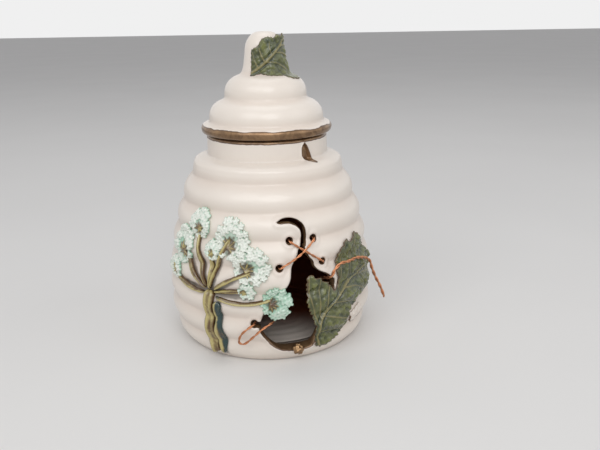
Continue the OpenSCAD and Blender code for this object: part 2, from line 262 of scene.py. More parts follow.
def serrate(outline, pitch, depth):
    """The outline with uneven teeth that lean along it."""
    rng = np.random.default_rng(SEED + len(outline))
    out = []
    for a, b in zip(outline, np.roll(outline, -1, 0)):
        step = b - a
        count = max(1, round(np.hypot(*step) / pitch))
        normal = np.array([step[1], -step[0]]) / max(np.hypot(*step), 1e-9)
        for k in range(count):
            out.append(a + step * k / count)
            tooth = depth * rng.uniform(0.5, 1.2)
            out.append(a + step * (k + rng.uniform(0.55, 0.8)) / count + normal * tooth)
    return np.array(out)


def smooth_line(points, per=6):
    """A smooth curve through the points."""
    p = np.asarray(points, float)
    out = []
    for i in range(len(p) - 1):
        a, b, c, d = p[max(i - 1, 0)], p[i], p[i + 1], p[min(i + 2, len(p) - 1)]
        for k in range(per):
            t = k / per
            out.append(
                (2 * b + (c - a) * t + (2 * a - 5 * b + 4 * c - d) * t**2
                 + (3 * b - a - 3 * c + d) * t**3) / 2
            )
    return np.array(out + [p[-1]])


def ripple(points, scale, seed=0):
    """Smooth noise from -1 to 1 over flat points."""
    rng = np.random.default_rng(SEED + seed)
    total = np.zeros(len(points))
    for _ in range(9):
        angle, phase = rng.uniform(0, 2 * math.pi, 2)
        turn = rng.uniform(0.6, 1.6) * 2 * math.pi / scale
        total += np.sin(points @ [math.cos(angle), math.sin(angle)] * turn + phase)
    return total / 4.5


# Mesh makers


def add_object(name, data):
    made = bpy.data.objects.new(name, data)
    bpy.context.scene.collection.objects.link(made)
    return made


def add_mesh(name, verts, faces, marks, body, replaced, slot, material):
    """One smooth piece that rides on its body and stands for its CAD nodes."""
    mesh = bpy.data.meshes.new(name)
    mesh.from_pydata(np.asarray(verts) * MM, [], faces)
    mesh.update()
    for mark, values in marks.items():
        layer = mesh.attributes.new(mark, "FLOAT", "POINT")
        layer.data.foreach_set("value", np.asarray(values, np.float32))
    mesh.polygons.foreach_set("use_smooth", [True] * len(mesh.polygons))
    mesh.materials.append(material)
    piece = add_object(name, mesh)
    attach(piece, body)
    if replaced:
        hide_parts(*replaced)
    return piece


def round_axis(s, z, r, radius=S_RADIUS):
    """Places on a wall as points in space."""
    angle = s / radius
    return np.stack([r * np.sin(angle), -r * np.cos(angle), z], -1)


RIM_PULLS = 4  # times the rim is pulled on to its line
EASINGS = 5  # times the grid beside the rim is evened out
EASED_WIDTH = 1.5


class Slab:
    """A plate over the part of a grid where depth is positive, with a rounded edge.

    front and back give the two faces' radii from the places and their depths.
    """

    def __init__(self, s, z, depth, lip, wrap=False):
        ns, nz = len(s), len(z)
        grid = np.stack(np.meshgrid(s, z), -1).reshape(-1, 2)
        index = np.arange(ns * nz).reshape(nz, ns)
        right = np.roll(index, -1, 1) if wrap else index[:, 1:]
        left = index if wrap else index[:, :-1]
        quads = np.stack([left[:-1], right[:-1], right[1:], left[1:]], -1).reshape(-1, 4)
        d = depth(grid) - lip
        kept = quads[(d[quads].mean(1) > 0) & (d[quads].min(1) > -0.9 * lip - 0.25)]
        used, inverse = np.unique(kept, return_inverse=True)
        self.quads = inverse.reshape(-1, 4)
        p = grid[used]
        edges = np.concatenate([self.quads[:, [k, (k + 1) % 4]] for k in range(4)])
        key = edges.min(1).astype(np.int64) * len(used) + edges.max(1)
        _, first, count = np.unique(key, return_index=True, return_counts=True)
        self.rim = edges[first[count == 1]]
        if wrap:
            on_end = (p[self.rim][..., 1] <= z[0]) | (p[self.rim][..., 1] >= z[-1])
            self.rim = self.rim[~on_end.all(1)]
        at_rim = np.unique(self.rim)
        for _ in range(RIM_PULLS):
            p[at_rim] -= (depth(p[at_rim]) - lip)[:, None] * self._slope(depth, p[at_rim])
        links = np.concatenate([edges, edges[:, ::-1]])
        free = np.ones(len(p), bool)
        free[at_rim] = False
        if wrap:
            free &= (p[:, 1] > z[0]) & (p[:, 1] < z[-1]) & (abs(p[:, 0]) < abs(s[0]) * 0.9)
        near = free & (depth(p) < lip + EASED_WIDTH)
        for _ in range(EASINGS):
            total = np.zeros_like(p)
            np.add.at(total, links[:, 0], p[links[:, 1]])
            count = np.bincount(links[:, 0], minlength=len(p))[:, None]
            p[near] = (total / np.maximum(count, 1))[near]
        self.p, self.depth, self.lip = p, depth, lip
        self.at_rim = at_rim
        self.slope = self._slope(depth, p[at_rim])

    @staticmethod
    def _slope(depth, p, step=0.04):
        dx = depth(p + [step, 0]) - depth(p - [step, 0])
        dz = depth(p + [0, step]) - depth(p - [0, step])
        g = np.stack([dx, dz], -1)
        return g / np.maximum(np.hypot(*g.T), 1e-9)[:, None]

    def build(self, front, back, rows=5, radius=S_RADIUS):
        """(points, faces, places, depths, side) with side 0 in front and 1 behind."""
        p, n = self.p, len(self.p)
        d = self.depth(p)
        rf, rb = front(p, d), back(p, d)
        places, radii, side = [p, p], [rf, rb], [np.zeros(n), np.ones(n)]
        faces = [tuple(q) for q in self.quads.tolist()]
        faces += [tuple(q[::-1] + n) for q in self.quads]
        slot_of = np.full(n, -1)
        slot_of[self.at_rim] = np.arange(len(self.at_rim))
        mid, half = (rf + rb)[self.at_rim] / 2, (rf - rb)[self.at_rim] / 2
        start = 2 * n
        for k in range(1, rows):
            a = math.pi * k / rows
            places.append(p[self.at_rim] - self.slope * self.lip * math.sin(a))
            radii.append(mid + half * math.cos(a))
            side.append(np.full(len(self.at_rim), k / rows))
        ring = len(self.at_rim)
        a, b = slot_of[self.rim[:, 0]], slot_of[self.rim[:, 1]]
        chain = [(self.rim[:, 0], self.rim[:, 1])]
        chain += [(start + k * ring + a, start + k * ring + b) for k in range(rows - 1)]
        chain.append((n + self.rim[:, 0], n + self.rim[:, 1]))
        for (a0, b0), (a1, b1) in zip(chain, chain[1:]):
            faces += np.stack([b0, a0, a1, b1], -1).tolist()
        places = np.concatenate(places)
        radii = np.concatenate(radii)
        points = round_axis(places[:, 0], places[:, 1], radii, radius)
        return points, faces, places, self.depth(places), np.concatenate(side)


def tube_faces(rows, count):
    """Faces over rings of points, closed by the two points that follow them."""
    faces = []
    for i in range(rows - 1):
        for k in range(count):
            j = (k + 1) % count
            faces.append((i * count + k, i * count + j, (i + 1) * count + j, (i + 1) * count + k))
    first, last = rows * count, rows * count + 1
    for k in range(count):
        j = (k + 1) % count
        faces.append((first, j, k))
        faces.append((last, (rows - 1) * count + k, (rows - 1) * count + j))
    return faces


def lathe(profile, count=192):
    """A closed turned shape from (radius, height) points that start and end on the axis."""
    profile = np.asarray(profile, float)
    angles = np.arange(count) * 2 * math.pi / count
    body = profile[1:-1]
    points = [
        np.stack([r * np.sin(angles), -r * np.cos(angles), np.full(count, z)], -1)
        for r, z in body
    ]
    points = np.concatenate(points + [[[0, 0, profile[0][1]]], [[0, 0, profile[-1][1]]]])
    return points, tube_faces(len(body), count)


SIDES = 20  # round a stalk or a wire


def sweep(path, section, up):
    """A closed bar along a path. section(t, angles) gives (across, outward) offsets."""
    path = np.asarray(path, float)
    count = len(path)
    angles = np.arange(SIDES) * 2 * math.pi / SIDES
    step = np.gradient(path, axis=0)
    step /= np.linalg.norm(step, axis=1)[:, None]
    points, phase = [], []
    for i in range(count):
        out = up(path[i])
        across = np.cross(out, step[i])
        across /= np.linalg.norm(across)
        out = np.cross(step[i], across)
        x, y = section(i / (count - 1), angles)
        points.append(path[i] + np.outer(x, across) + np.outer(y, out))
        phase.append(np.sin(angles))
    points.append([path[0] - step[0] * 0.1])
    points.append([path[-1] + step[-1] * 0.1])
    return (np.concatenate(points), tube_faces(count, SIDES),
            np.concatenate(phase + [[0, 0]]))


def join(parts):
    """Several (points, faces, marks) as one."""
    points, faces, marks, start = [], [], {}, 0
    for some, its_faces, its_marks in parts:
        points.append(some)
        faces += [tuple(int(v) + start for v in f) for f in its_faces]
        for name, values in its_marks.items():
            marks.setdefault(name, []).append(values)
        start += len(some)
    return np.concatenate(points), faces, {k: np.concatenate(v) for k, v in marks.items()}


# Materials


class Value:
    """A shader socket that takes part in sums."""

    def __init__(self, maker, socket):
        self.maker, self.socket = maker, socket

    def _sum(self, how, a, b):
        node = self.maker.node("ShaderNodeMath", {"operation": how}, {0: a, 1: b})
        return Value(self.maker, node.outputs[0])

    def __add__(self, other):
        return self._sum("ADD", self, other)

    def __radd__(self, other):
        return self._sum("ADD", other, self)

    def __sub__(self, other):
        return self._sum("SUBTRACT", self, other)

    def __rsub__(self, other):
        return self._sum("SUBTRACT", other, self)

    def __mul__(self, other):
        return self._sum("MULTIPLY", self, other)

    def __rmul__(self, other):
        return self._sum("MULTIPLY", other, self)

    def clamp(self):
        node = self.maker.node("ShaderNodeClamp", {}, {0: self})
        return Value(self.maker, node.outputs[0])

    def step(self, low, high):
        """0 at low and beyond, 1 at high and beyond, smooth between."""
        node = self.maker.node(
            "ShaderNodeMapRange", {"interpolation_type": "SMOOTHSTEP"},
            {"Value": self, "From Min": low, "From Max": high},
        )
        return Value(self.maker, node.outputs[0])


class Finish:
    """A material around one Principled shader."""

    def __init__(self, name):
        self.material = bpy.data.materials.new(name)
        self.material.use_nodes = True
        self.tree = self.material.node_tree
        self.shader = self.tree.nodes["Principled BSDF"]

    def node(self, kind, settings, values):
        made = self.tree.nodes.new(kind)
        for name, value in settings.items():
            setattr(made, name, value)
        self.feed(made, values)
        return made

    def feed(self, node, values):
        for name, value in values.items():
            socket = node.inputs[name]
            if isinstance(value, Value):
                self.tree.links.new(value.socket, socket)
            elif socket.type == "RGBA" and len(value) == 3:
                socket.default_value = (*value, 1)
            else:
                socket.default_value = value

    def mark(self, name):
        node = self.node("ShaderNodeAttribute", {"attribute_name": name}, {})
        return Value(self, node.outputs["Fac"])

    def place(self):
        node = self.node("ShaderNodeTexCoord", {}, {})
        return Value(self, node.outputs["Object"])

    def noise(self, scale, detail=4.0, rough=0.55, warp=0.0):
        node = self.node(
            "ShaderNodeTexNoise", {},
            {"Vector": self.place(), "Scale": scale, "Detail": detail, "Roughness": rough,
             "Distortion": warp},
        )
        return Value(self, node.outputs["Fac"])

    def cells(self, scale):
        node = self.node("ShaderNodeTexVoronoi", {}, {"Vector": self.place(), "Scale": scale})
        return Value(self, node.outputs["Distance"])

    def mix(self, factor, a, b):
        node = self.node(
            "ShaderNodeMix", {"data_type": "RGBA"}, {0: factor, 6: a, 7: b},
        )
        return Value(self, node.outputs[2])

    def bump(self, height, strength, distance):
        node = self.node(
            "ShaderNodeBump", {},
            {"Height": height, "Strength": strength, "Distance": distance * MM},
        )
        return Value(self, node.outputs["Normal"])

    def done(self, **values):
        names = {
            name.replace("_", " ").title().replace("Ior", "IOR"): value
            for name, value in values.items()
        }
        self.feed(self.shader, names)
        return self.material


def ceramic(name, tints, shine=0.5, metalness=0.5):
    """Cream glaze, darker in random patches and in the grooves, with painted lustre, glaze and
    painted shadow round the stalks, and painted shade inside.
    """
    f = Finish(name)
    cloud = f.noise(38.0, 3.0)
    fine = f.noise(420.0, 5.0)
    # Darker cream in random patches and in the grooves between the ribs and tiers.
    cream = f.mix((cloud * 0.5 + f.mark("groove") * 0.45).clamp(), tints.cream,
                  tints.cream_darker)
    # Painted shade: brown inside the pot where the inside mark is high.
    painted_shade = (f.mark("inside") + (cloud - 0.5) * 0.5).step(0.15, 0.85)
    base = f.mix(painted_shade, cream, tints.inside)
    edge = f.mark("lustre") + (f.noise(300.0, 3.0) - 0.5) * 0.5
    painted = edge.step(0.42, 0.58)
    streak = f.noise(160.0, 6.0, 0.7, 1.2)
    bronze = f.mix(streak.step(0.1, 0.9) * 0.85, tints.bronze_dark, tints.bronze)
    rim = edge.step(0.52, 0.95)
    lustre = f.mix(rim, tints.bronze_dark, bronze)
    inner = f.mark("inside").step(0.0, 0.05)
    # Glaze pooled round the stalks, with painted shadow where they meet the wall.
    stain_and_shadow = (f.mark("stain_and_shadow") + (f.noise(260.0, 4.0) - 0.5) * 0.9).step(0.4, 0.95)
    stain_and_shadow_tint = f.mix((f.noise(110.0, 3.0) * 2 - 0.6).clamp(), tints.edge,
                    tints.teal)
    base = f.mix(stain_and_shadow * 0.75, base, stain_and_shadow_tint)
    return f.done(
        base_color=f.mix(painted, base, lustre),
        metallic=painted * metalness,
        roughness=(0.32 + 0.12 * cloud - painted * 0.1 + painted * streak * 0.1
                   + inner * 0.3).clamp(),
        specular_ior_level=shine,
        coat_weight=0.35 - 0.35 * inner,
        coat_roughness=0.12,
        ior=1.5,
        normal=f.bump(fine * 0.5 + cloud * 1.6, 0.25, 0.25),
    )


def leaf_glaze(name, tints):
    """Green glaze that pools dark in hollows and breaks olive and brown on veins and edges."""
    f = Finish(name)
    cloud = f.noise(140.0, 5.0, 0.6, 0.6)
    fine = f.noise(900.0, 5.0)
    height = f.mark("height")
    green = f.mix((height * 1.5 + cloud * 1.2 - 0.95).clamp(), tints.leaf_dark,
                  tints.leaf)
    pool = f.mix((f.noise(90.0, 3.0) * 1.6 - 0.8).clamp() * 0.12, green, tints.mint)
    veined = f.mix((f.mark("vein") + (cloud - 0.5) * 1.0).step(0.42, 1.0) * 0.85, pool,
                   tints.vein)
    blotch = (f.noise(70.0, 4.0) - 0.5) * 1.3
    brown = (f.mark("edge") + blotch + (cloud - 0.5) * 0.9 - (height - 0.5) * 0.3).step(0.35, 0.95)
    return f.done(
        base_color=f.mix(brown * 0.8, veined, tints.edge),
        roughness=(0.12 + 0.2 * cloud).clamp(),
        coat_weight=0.5,
        coat_roughness=0.06,
        ior=1.5,
        normal=f.bump(fine * 0.4 + cloud * 1.6 + f.cells(520.0) * 0.6, 0.8, 0.6),
    )


def stalk_glaze(name, tints):
    """Olive glaze on stalks with teal that has run in; lighter on the crests as painted highlight,
    brown down the sides and between ridges as the glaze's own brown with painted shade.
    """
    f = Finish(name)
    cloud = f.noise(170.0, 5.0, 0.6, 0.8)
    fine = f.noise(800.0, 4.0)
    height = f.mark("height")
    run = f.noise(60.0, 4.0, 0.6, 0.5)
    # Brown down the sides and between the ridges is partly the glaze's own brown and partly
    # painted shade; the lighter crests are painted highlight.
    olive = f.mix((height + (cloud - 0.5) * 1.1 + (run - 0.5) * 0.8).step(0.25, 0.85),
                  tints.edge, tints.stem)
    return f.done(
        base_color=f.mix((f.mark("teal") + (run - 0.5) * 1.6 - 0.25 * height).step(0.4, 0.8),
                         olive, tints.teal),
        roughness=(0.16 + 0.2 * cloud).clamp(),
        coat_weight=0.5,
        coat_roughness=0.08,
        ior=1.5,
        normal=f.bump(fine * 0.6 + cloud, 0.45, 0.3),
    )


def petal_glaze(name, tints):
    """White glaze on raised petals over mint, teal and olive hollows."""
    f = Finish(name)
    cloud = f.noise(210.0, 5.0, 0.6, 0.5)
    patch = f.noise(75.0, 3.0)
    low = 1 - f.mark("height")
    minty = (f.mark("mint") * 0.7 + low * 0.6 + (patch - 0.5) * 0.9 + (cloud - 0.5) * 0.3)
    white = f.mix(minty.step(0.3, 1.15), tints.petal, tints.mint)
    hollow = f.mix((patch * 1.8 - 0.6).clamp(), tints.edge, tints.teal)
    deep = (f.mark("deep") * 0.9 + low * 0.15 + (cloud - 0.5) * 0.9).step(0.35, 1.0)
    petals = f.mix(deep * 0.9, white, hollow)
    spoke = (f.mark("spoke") + (cloud - 0.5) * 0.5).step(0.35, 0.75)
    return f.done(
        base_color=f.mix(spoke, petals, f.mix(cloud.step(0.35, 0.65), tints.edge,
                                               tints.stem)),
        roughness=(0.14 + 0.16 * cloud).clamp(),
        coat_weight=0.5,
        coat_roughness=0.06,
        ior=1.5,
        normal=f.bump(f.noise(900.0, 4.0) * 0.5 + cloud, 0.35, 0.3),
    )


def copper_wire(name, tints):
    """Drawn copper with darker tarnish along its length, and painted light and painted shade round
    each strand.
    """
    f = Finish(name)
    tarnish = f.noise(420.0, 5.0, 0.65)
    dark = tuple(c * 0.35 for c in tints.copper)
    return f.done(
        # The height mark here is painted light: lighter on each strand's side facing up and out,
        # darker on the side facing down and in.
        base_color=f.mix((tarnish.step(0.35, 0.7) * 0.7 + f.mark("height") * 0.4).clamp(), dark,
                         tints.copper),
        metallic=0.9,
        roughness=(0.24 + 0.25 * tarnish).clamp(),
        normal=f.bump(tarnish, 0.3, 0.1),
    )


def bronze_lustre(name, tints):
    """Bronze lustre over lumpy clay, lighter on top as painted light and darker underneath as
    painted shade.
    """
    f = Finish(name)
    streak = f.noise(260.0, 5.0, 0.7, 1.0)
    return f.done(
        base_color=f.mix((streak.step(0.3, 0.7) * 0.6 + f.mark("height") * 0.6).clamp(),
                         tints.bronze_dark, tints.bronze),
        metallic=0.8,
        roughness=(0.2 + 0.25 * streak).clamp(),
        normal=f.bump(streak, 0.4, 0.3),
    )


# Outlines, as [azimuth, height]

DOOR = [
    [15.3, 50.6], [15.6, 53.4], [18.8, 53.4], [19.8, 49.2], [23.6, 47.0], [23.3, 44.9],
    [24.7, 43.2], [26.8, 41.7], [32.7, 39.4], [38.7, 34.1], [31.9, 28.1], [27.1, 19.4],
    [23.8, 8.6], [20.5, 6.6], [13.8, 6.4], [6.6, 7.2], [3.3, 8.2], [-1.1, 10.8],
    [-5.5, 15.4], [-6.6, 19.0], [-5.9, 21.9], [-2.0, 28.5], [3.3, 31.6], [7.1, 35.8],
    [10.2, 38.1], [11.0, 43.0], [13.0, 48.6],
]
CRACK = [
    [17.9, 55.8], [18.0, 59.9], [16.6, 62.0], [13.5, 63.5], [9.5, 64.1], [2.9, 63.6],
    [5.0, 65.1], [8.1, 65.9], [11.1, 66.1], [14.6, 65.6], [17.9, 64.4], [19.9, 62.6],
    [20.8, 60.5], [21.1, 55.5], [19.0, 52.8], [15.6, 52.8],
]
SLIT = [
    [33.5, 94.6], [37.5, 94.2], [40.5, 91.2], [42.5, 88.6], [44.5, 86.0], [38.0, 87.0],
    [33.5, 88.0], [31.8, 90.6],
]
STITCH_HOLES = [[10.9, 56.5], [25.3, 56.4], [4.6, 45.3], [29.4, 46.0]]
LOOP_HOLE = [-9.4, 20.6]
HOLE_R = 1.25
LEAF = [
    [27.4, 5.0], [22.6, 6.6], [23.4, 9.2], [22.6, 15.6], [21.4, 21.2], [19.0, 25.0],
    [17.4, 29.4], [18.4, 32.6], [17.6, 37.0], [18.6, 42.4], [20.8, 41.4], [22.4, 42.0],
    [24.2, 39.6], [26.6, 40.2], [28.6, 37.4], [31.2, 37.6], [33.6, 34.6], [36.2, 32.2],
    [38.0, 35.6], [36.4, 40.0], [37.0, 44.2], [38.8, 47.4], [41.6, 49.4], [44.4, 51.8],
    [48.4, 53.8], [50.4, 51.2], [53.2, 52.4], [57.0, 55.0], [60.4, 53.6], [63.0, 49.4],
    [67.4, 46.0], [71.6, 43.8], [75.0, 40.0], [73.6, 35.6], [75.6, 31.4], [69.6, 28.4],
    [65.4, 24.8], [58.6, 23.6], [53.4, 21.4], [48.2, 20.0], [45.4, 18.0], [45.8, 14.8],
    [43.8, 11.2], [39.6, 8.6], [34.6, 6.8],
]
LEAF_RIB = [[26.6, 5.4], [25.2, 12.0], [26.2, 19.0], [31.0, 24.0], [38.0, 29.4], [46.0, 33.4],
            [56.0, 36.0], [70.0, 38.6]]
LEAF_VEINS = [
    [[25.4, 17.0], [22.4, 24.0], [20.0, 33.0], [19.6, 41.0]],
    [[26.6, 20.0], [25.4, 28.0], [26.4, 38.4]],
    [[30.0, 23.2], [30.4, 29.0], [32.6, 34.0]],
    [[38.0, 29.4], [39.4, 38.0], [42.6, 47.0], [47.8, 52.8]],
    [[46.0, 33.4], [48.4, 42.0], [56.8, 53.4]],
    [[54.0, 35.6], [57.6, 41.6], [64.0, 47.0]],
    [[34.0, 26.6], [43.0, 25.0], [53.0, 22.4]],
    [[42.0, 31.6], [52.0, 30.2], [63.0, 25.4]],
    [[52.0, 35.0], [62.0, 33.8], [73.6, 31.6]],
    [[27.6, 21.4], [35.0, 19.4], [44.6, 16.4]],
    [[25.6, 14.0], [33.0, 13.4], [42.4, 11.4]],
]
CHIP = [[47.6, 17.6], [51.6, 18.8], [56.8, 20.0], [59.6, 16.6], [55.2, 13.6], [50.4, 12.2],
        [48.6, 13.6]]

# On the knob, as [azimuth, share of the knob's height]
KNOB_LEAF = [
    [-34, -0.04], [-38, 0.3], [-40, 0.6], [-22, 0.66], [-8, 0.84], [10, 0.9], [30, 0.86],
    [36, 0.95], [58, 0.9], [62, 0.97], [84, 0.92], [80, 0.6], [84, 0.3], [88, -0.02],
    [74, -0.12], [56, -0.1], [36, -0.02], [14, -0.02], [-12, 0.03],
]
KNOB_RIB = [[-31, 0.06], [-8, 0.22], [16, 0.42], [40, 0.62], [74, 0.86]]
KNOB_VEINS = [
    [[-16, 0.16], [-26, 0.34], [-33, 0.52]], [[0, 0.3], [-8, 0.46], [-14, 0.62]],
    [[20, 0.46], [14, 0.6], [14, 0.76]], [[4, 0.3], [30, 0.28], [60, 0.12]],
    [[28, 0.52], [54, 0.5], [78, 0.4]], [[46, 0.66], [64, 0.68], [80, 0.66]],
]

# Flower, as in the solids: rays are [azimuth, height, bow] of their far ends, and heads
# [azimuth, height, half width, half height, how much mint]
STEM_AZ, NODE_Z = -34.2, 32.9
RAYS = [
    [-62.5, 35.2, 1.2], [-56.2, 50.6, 0.6], [-44.6, 58.2, 0.6], [-32.9, 49.8, -0.4],
    [-23.0, 57.0, 0.8], [-11.0, 43.6, 1.2], [-14.5, 35.4, 0.3], [0.0, 32.2, -2.6],
]
HEADS = [
    [-64.5, 39.0, 4.8, 5.4, 0.5], [-57.0, 51.0, 7.6, 8.8, 0.35], [-43.9, 62.2, 6.0, 6.4, 0.4],
    [-32.4, 52.0, 3.6, 4.0, 0.5], [-21.6, 57.5, 8.2, 9.4, 0.2], [-10.0, 46.4, 8.4, 8.4, 0.12],
    [-13.0, 35.4, 3.4, 3.4, 0.6], [2.6, 30.0, 6.4, 7.4, 0.95],
]
STEM_PATH = [[-34.4, 34.0], [-34.6, 28.0], [-34.4, 22.0], [-34.6, 16.0], [-34.2, 9.0],
             [-33.4, 4.2]]
SIDE_PATH = [[-29.0, 29.6], [-29.6, 25.0], [-29.0, 21.0], [-29.4, 15.0], [-28.8, 10.0],
             [-28.6, 4.0]]

# Wires, as [azimuth, height, lift out from the belly]
WIRE_R, HOOK_R, WIRE_IN, ON_FACE, OVER_LEAF = 0.55, 0.75, 6.5, 0.65, 2.95
LOOP = [
    [2.5, 20.5, -WIRE_IN], [-0.5, 20.9, -1], [-5.4, 18.6, ON_FACE], [-10.0, 15.2, 2],
    [-14.4, 11.8, 2.2], [-17.2, 12.4, 2.2], [-15.8, 16.2, 2], [-12.4, 19.0, 1],
    [*LOOP_HOLE, -0.6], [*LOOP_HOLE, -WIRE_IN],
]
HOOK = [
    [33.0, 35.6, -8.5], [31.6, 37.6, -3.2], [31.4, 39.6, 2.35], [33.4, 42.4, OVER_LEAF],
    [37.6, 44.4, OVER_LEAF], [43.2, 44.2, OVER_LEAF], [50.0, 44.2, OVER_LEAF],
    [56.0, 42.8, OVER_LEAF], [61.0, 41.0, OVER_LEAF], [64.4, 38.6, 3.25], [65.2, 35.4, 3.65],
    [65.8, 31.2, 4.85],
    [66.6, 26.4, 6.85], [67.4, 20.8, 8.75],
]


def settings():
    """The wall, the lid's sizes and the colours as set in the panel."""
    s = bpy.context.scene
    return Wall(s.honey_pot), s.honey_lid, s.honey_colours


def outward(p):
    """The way straight out from the pot's axis."""
    return np.array([p[0], p[1], 0]) / max(math.hypot(p[0], p[1]), 1e-6)


# Pieces


def pot_depth(p):
    """How deep in the clay a place is: negative in an opening."""
    d = np.full(len(p), 30.0)
    for outline, narrower in ((DOOR, 0.0), (CRACK, 0.4)):
        d = np.minimum(d, narrower - depth_in(p, smooth_closed(on_wall(outline))))
    for hole in STITCH_HOLES + [LOOP_HOLE]:
        d = np.minimum(d, np.hypot(*(p - spot(*hole)).T) - HOLE_R)
    return d


def smooth_closed(outline, per=3):
    """The closed outline with softened corners."""
    n = len(outline)
    out = []
    for i in range(n):
        a, b, c = outline[i - 1], outline[i], outline[(i + 1) % n]
        for t in np.linspace(0, 1, per, endpoint=False):
            p, q = (a + b) / 2, (b + c) / 2
            out.append((1 - t) ** 2 * p + 2 * t * (1 - t) * (0.5 * b + 0.25 * (p + q)) + t**2 * q)
    return np.array(out)


def pot_marks(wall, points, places, depths, side):
    """Where the pot has painted lustre, glaze and painted shadow round the stalks, painted shade
    inside, and darker cream in the grooves.
    """
    outside = side < 0.85
    slit_depth = depth_in(places, smooth_closed(on_wall(SLIT)))
    sill = unit((13.5 - places[:, 1]) / 3)
    brush = 0.2 * ripple(places, 9.0, 3)
    lip = unit(1.1 - depths / (0.75 + 0.75 * sill + brush)) * outside
    torn = unit(1.1 - np.clip(0.1 - slit_depth, 0, 9) / 0.8) * outside
    rim = unit((places[:, 1] - wall.top + 2.0) / 0.8) * outside * (side < 0.7)
    # Painted shade inside: the brown grows towards the back and towards the top of the inside.
    back = unit((points[:, 1] + 26) / 34)
    upper = unit((places[:, 1] - 24) / 16)
    boss = spot(STEM_AZ, NODE_Z)
    # Glaze and painted shadow in a halo round each ray and the side stem.
    stain_and_shadow = np.zeros(len(places))
    for azimuth, height, _ in RAYS:
        near = to_line(places, [boss, boss + 0.8 * (spot(azimuth, height) - boss)])
        stain_and_shadow = np.maximum(stain_and_shadow, hill(near, 1.7))
    stain_and_shadow *= unit(1.5 - np.hypot(*(places - boss).T) / 22)
    near = to_line(places, smooth_line(on_wall(SIDE_PATH)))
    return {
        "lustre": np.maximum.reduce([lip, torn, rim]),
        "stain_and_shadow": np.maximum(stain_and_shadow, 0.9 * hill(near, 2.6)) * (side < 0.3),
        "inside": (side > 0.6) * (0.03 + np.maximum(back, upper)),
        # Darker cream towards the bottom of each groove between the ribs.
        "groove": (side < 0.5) * wall.dip(places[:, 1]) * (places[:, 1] < wall.shoulder_z),
    }


class HONEY_OT_pot(bpy.types.Operator):
    """Build the ribbed pot with its torn doorway, crack, slit and stitch holes"""

    bl_idname = "honey.pot"
    bl_label = "Pot"

    def execute(self, context):
        wall, _, tints = settings()
        turn = math.pi * S_RADIUS
        # Columns of the grid lie closer round the flower and the doorway than at the back
        breaks = [arc_length(a) for a in (-180, -74, -14, 50, 78, 180)]
        columns = (36, 80, 118, 34, 34)
        s = np.concatenate([
            np.linspace(low, high, number, endpoint=False)
            for low, high, number in zip(breaks, breaks[1:], columns)
        ])
        rows = 216
        z = np.linspace(wall.floor, wall.top - wall.neck_wall / 2, rows)
        slab = Slab(s, z, pot_depth, wall.lip, wrap=True)
        slit = smooth_closed(on_wall(SLIT))

        def front(p, d):
            hand = 0.16 * (ripple(p, 26.0, 1) * unit(4 - 4 * abs(p[:, 0]) / turn) - 1)
            groove = depth_in(p, slit)
            raised = 0.5 * hill(d - 1.2, 1.0) * (d < 4)
            torn = 0.45 * hill(groove + 0.5, 0.7)
            cut = 1.5 * unit(groove / 0.8) ** 0.6
            return wall.outer(p[:, 1]) + hand + raised + torn - cut

        points, faces, places, depths, side = slab.build(front, lambda p, d: wall.inner(p[:, 1]))
        inner, count = len(slab.p), len(s)
        low = np.flatnonzero(slab.p[:, 1] <= z[0])
        high = np.flatnonzero(slab.p[:, 1] >= z[-1])
        low = low[np.argsort(slab.p[low, 0])]
        high = high[np.argsort(slab.p[high, 0])]
        round_it = slab.p[low, 0]
        rings = [(points, places, side)]

        def strip(a, b):
            faces.extend(np.stack([a, b, np.roll(b, -1), np.roll(a, -1)], -1).tolist())

        def carry_on(last, profile, outwards):
            """Rings of (radius, height, side) carried on from the last one."""
            for radius, height, is_in in profile:
                now = len(points) + (len(rings) - 1) * count + np.arange(count)
                level = np.full(count, float(height))
                rings.append((round_axis(round_it, level, radius),
                              np.stack([round_it, level], -1), np.full(count, is_in)))
                strip(*((last, now) if outwards else (now, last)))
                last = now
            return last

        foot = [(float(wall.outer(h)), h) for h in (4.2, 3.4, 2.6, 1.8, 1.1, 0.5)]
        foot += [(float(wall.outer(0.0)) - 0.5, 0.0), (30.0, 0.0), (12.0, 0.0), (1.0, 0.0)]
        last = carry_on(low, [(r, h, 0.0) for r, h in foot], True)
        faces.append(tuple(int(v) for v in last[::-1]))
        floor = [(r, wall.floor + 0.1 * (math.cos(r * 1.15) - 1), 1.0)
                 for r in np.linspace(34.4, 1.0, 40)]
        last = carry_on(low + inner, floor, False)
        faces.append(tuple(int(v) for v in last))
        half = wall.neck_wall / 2
        mouth = [(wall.neck - half + half * math.cos(math.pi * k / 6),
                  z[-1] + half * math.sin(math.pi * k / 6), k / 6) for k in range(1, 6)]
        strip(high + inner, carry_on(high, mouth, False))
        points, places, side = (np.concatenate(group) for group in zip(*rings))
        depths = np.concatenate([depths, np.full(len(places) - len(depths), 20.0)])
        pot = add_mesh("pot_body_glazed", points, faces,
                       pot_marks(wall, points, places, depths, side), "pot", ["pot_body"],
                       "cream_glaze", ceramic("cream_pot", tints))
        # A second slot for the inside faces: the painted shade inside, with a duller finish.
        pot.data.materials.append(ceramic("inside_painted_shade", tints, shine=0.12))
        shaded_faces = [int(min(side[list(face)]) > 0.6) for face in faces]
        pot.data.polygons.foreach_set("material_index", shaded_faces)
        return {"FINISHED"}


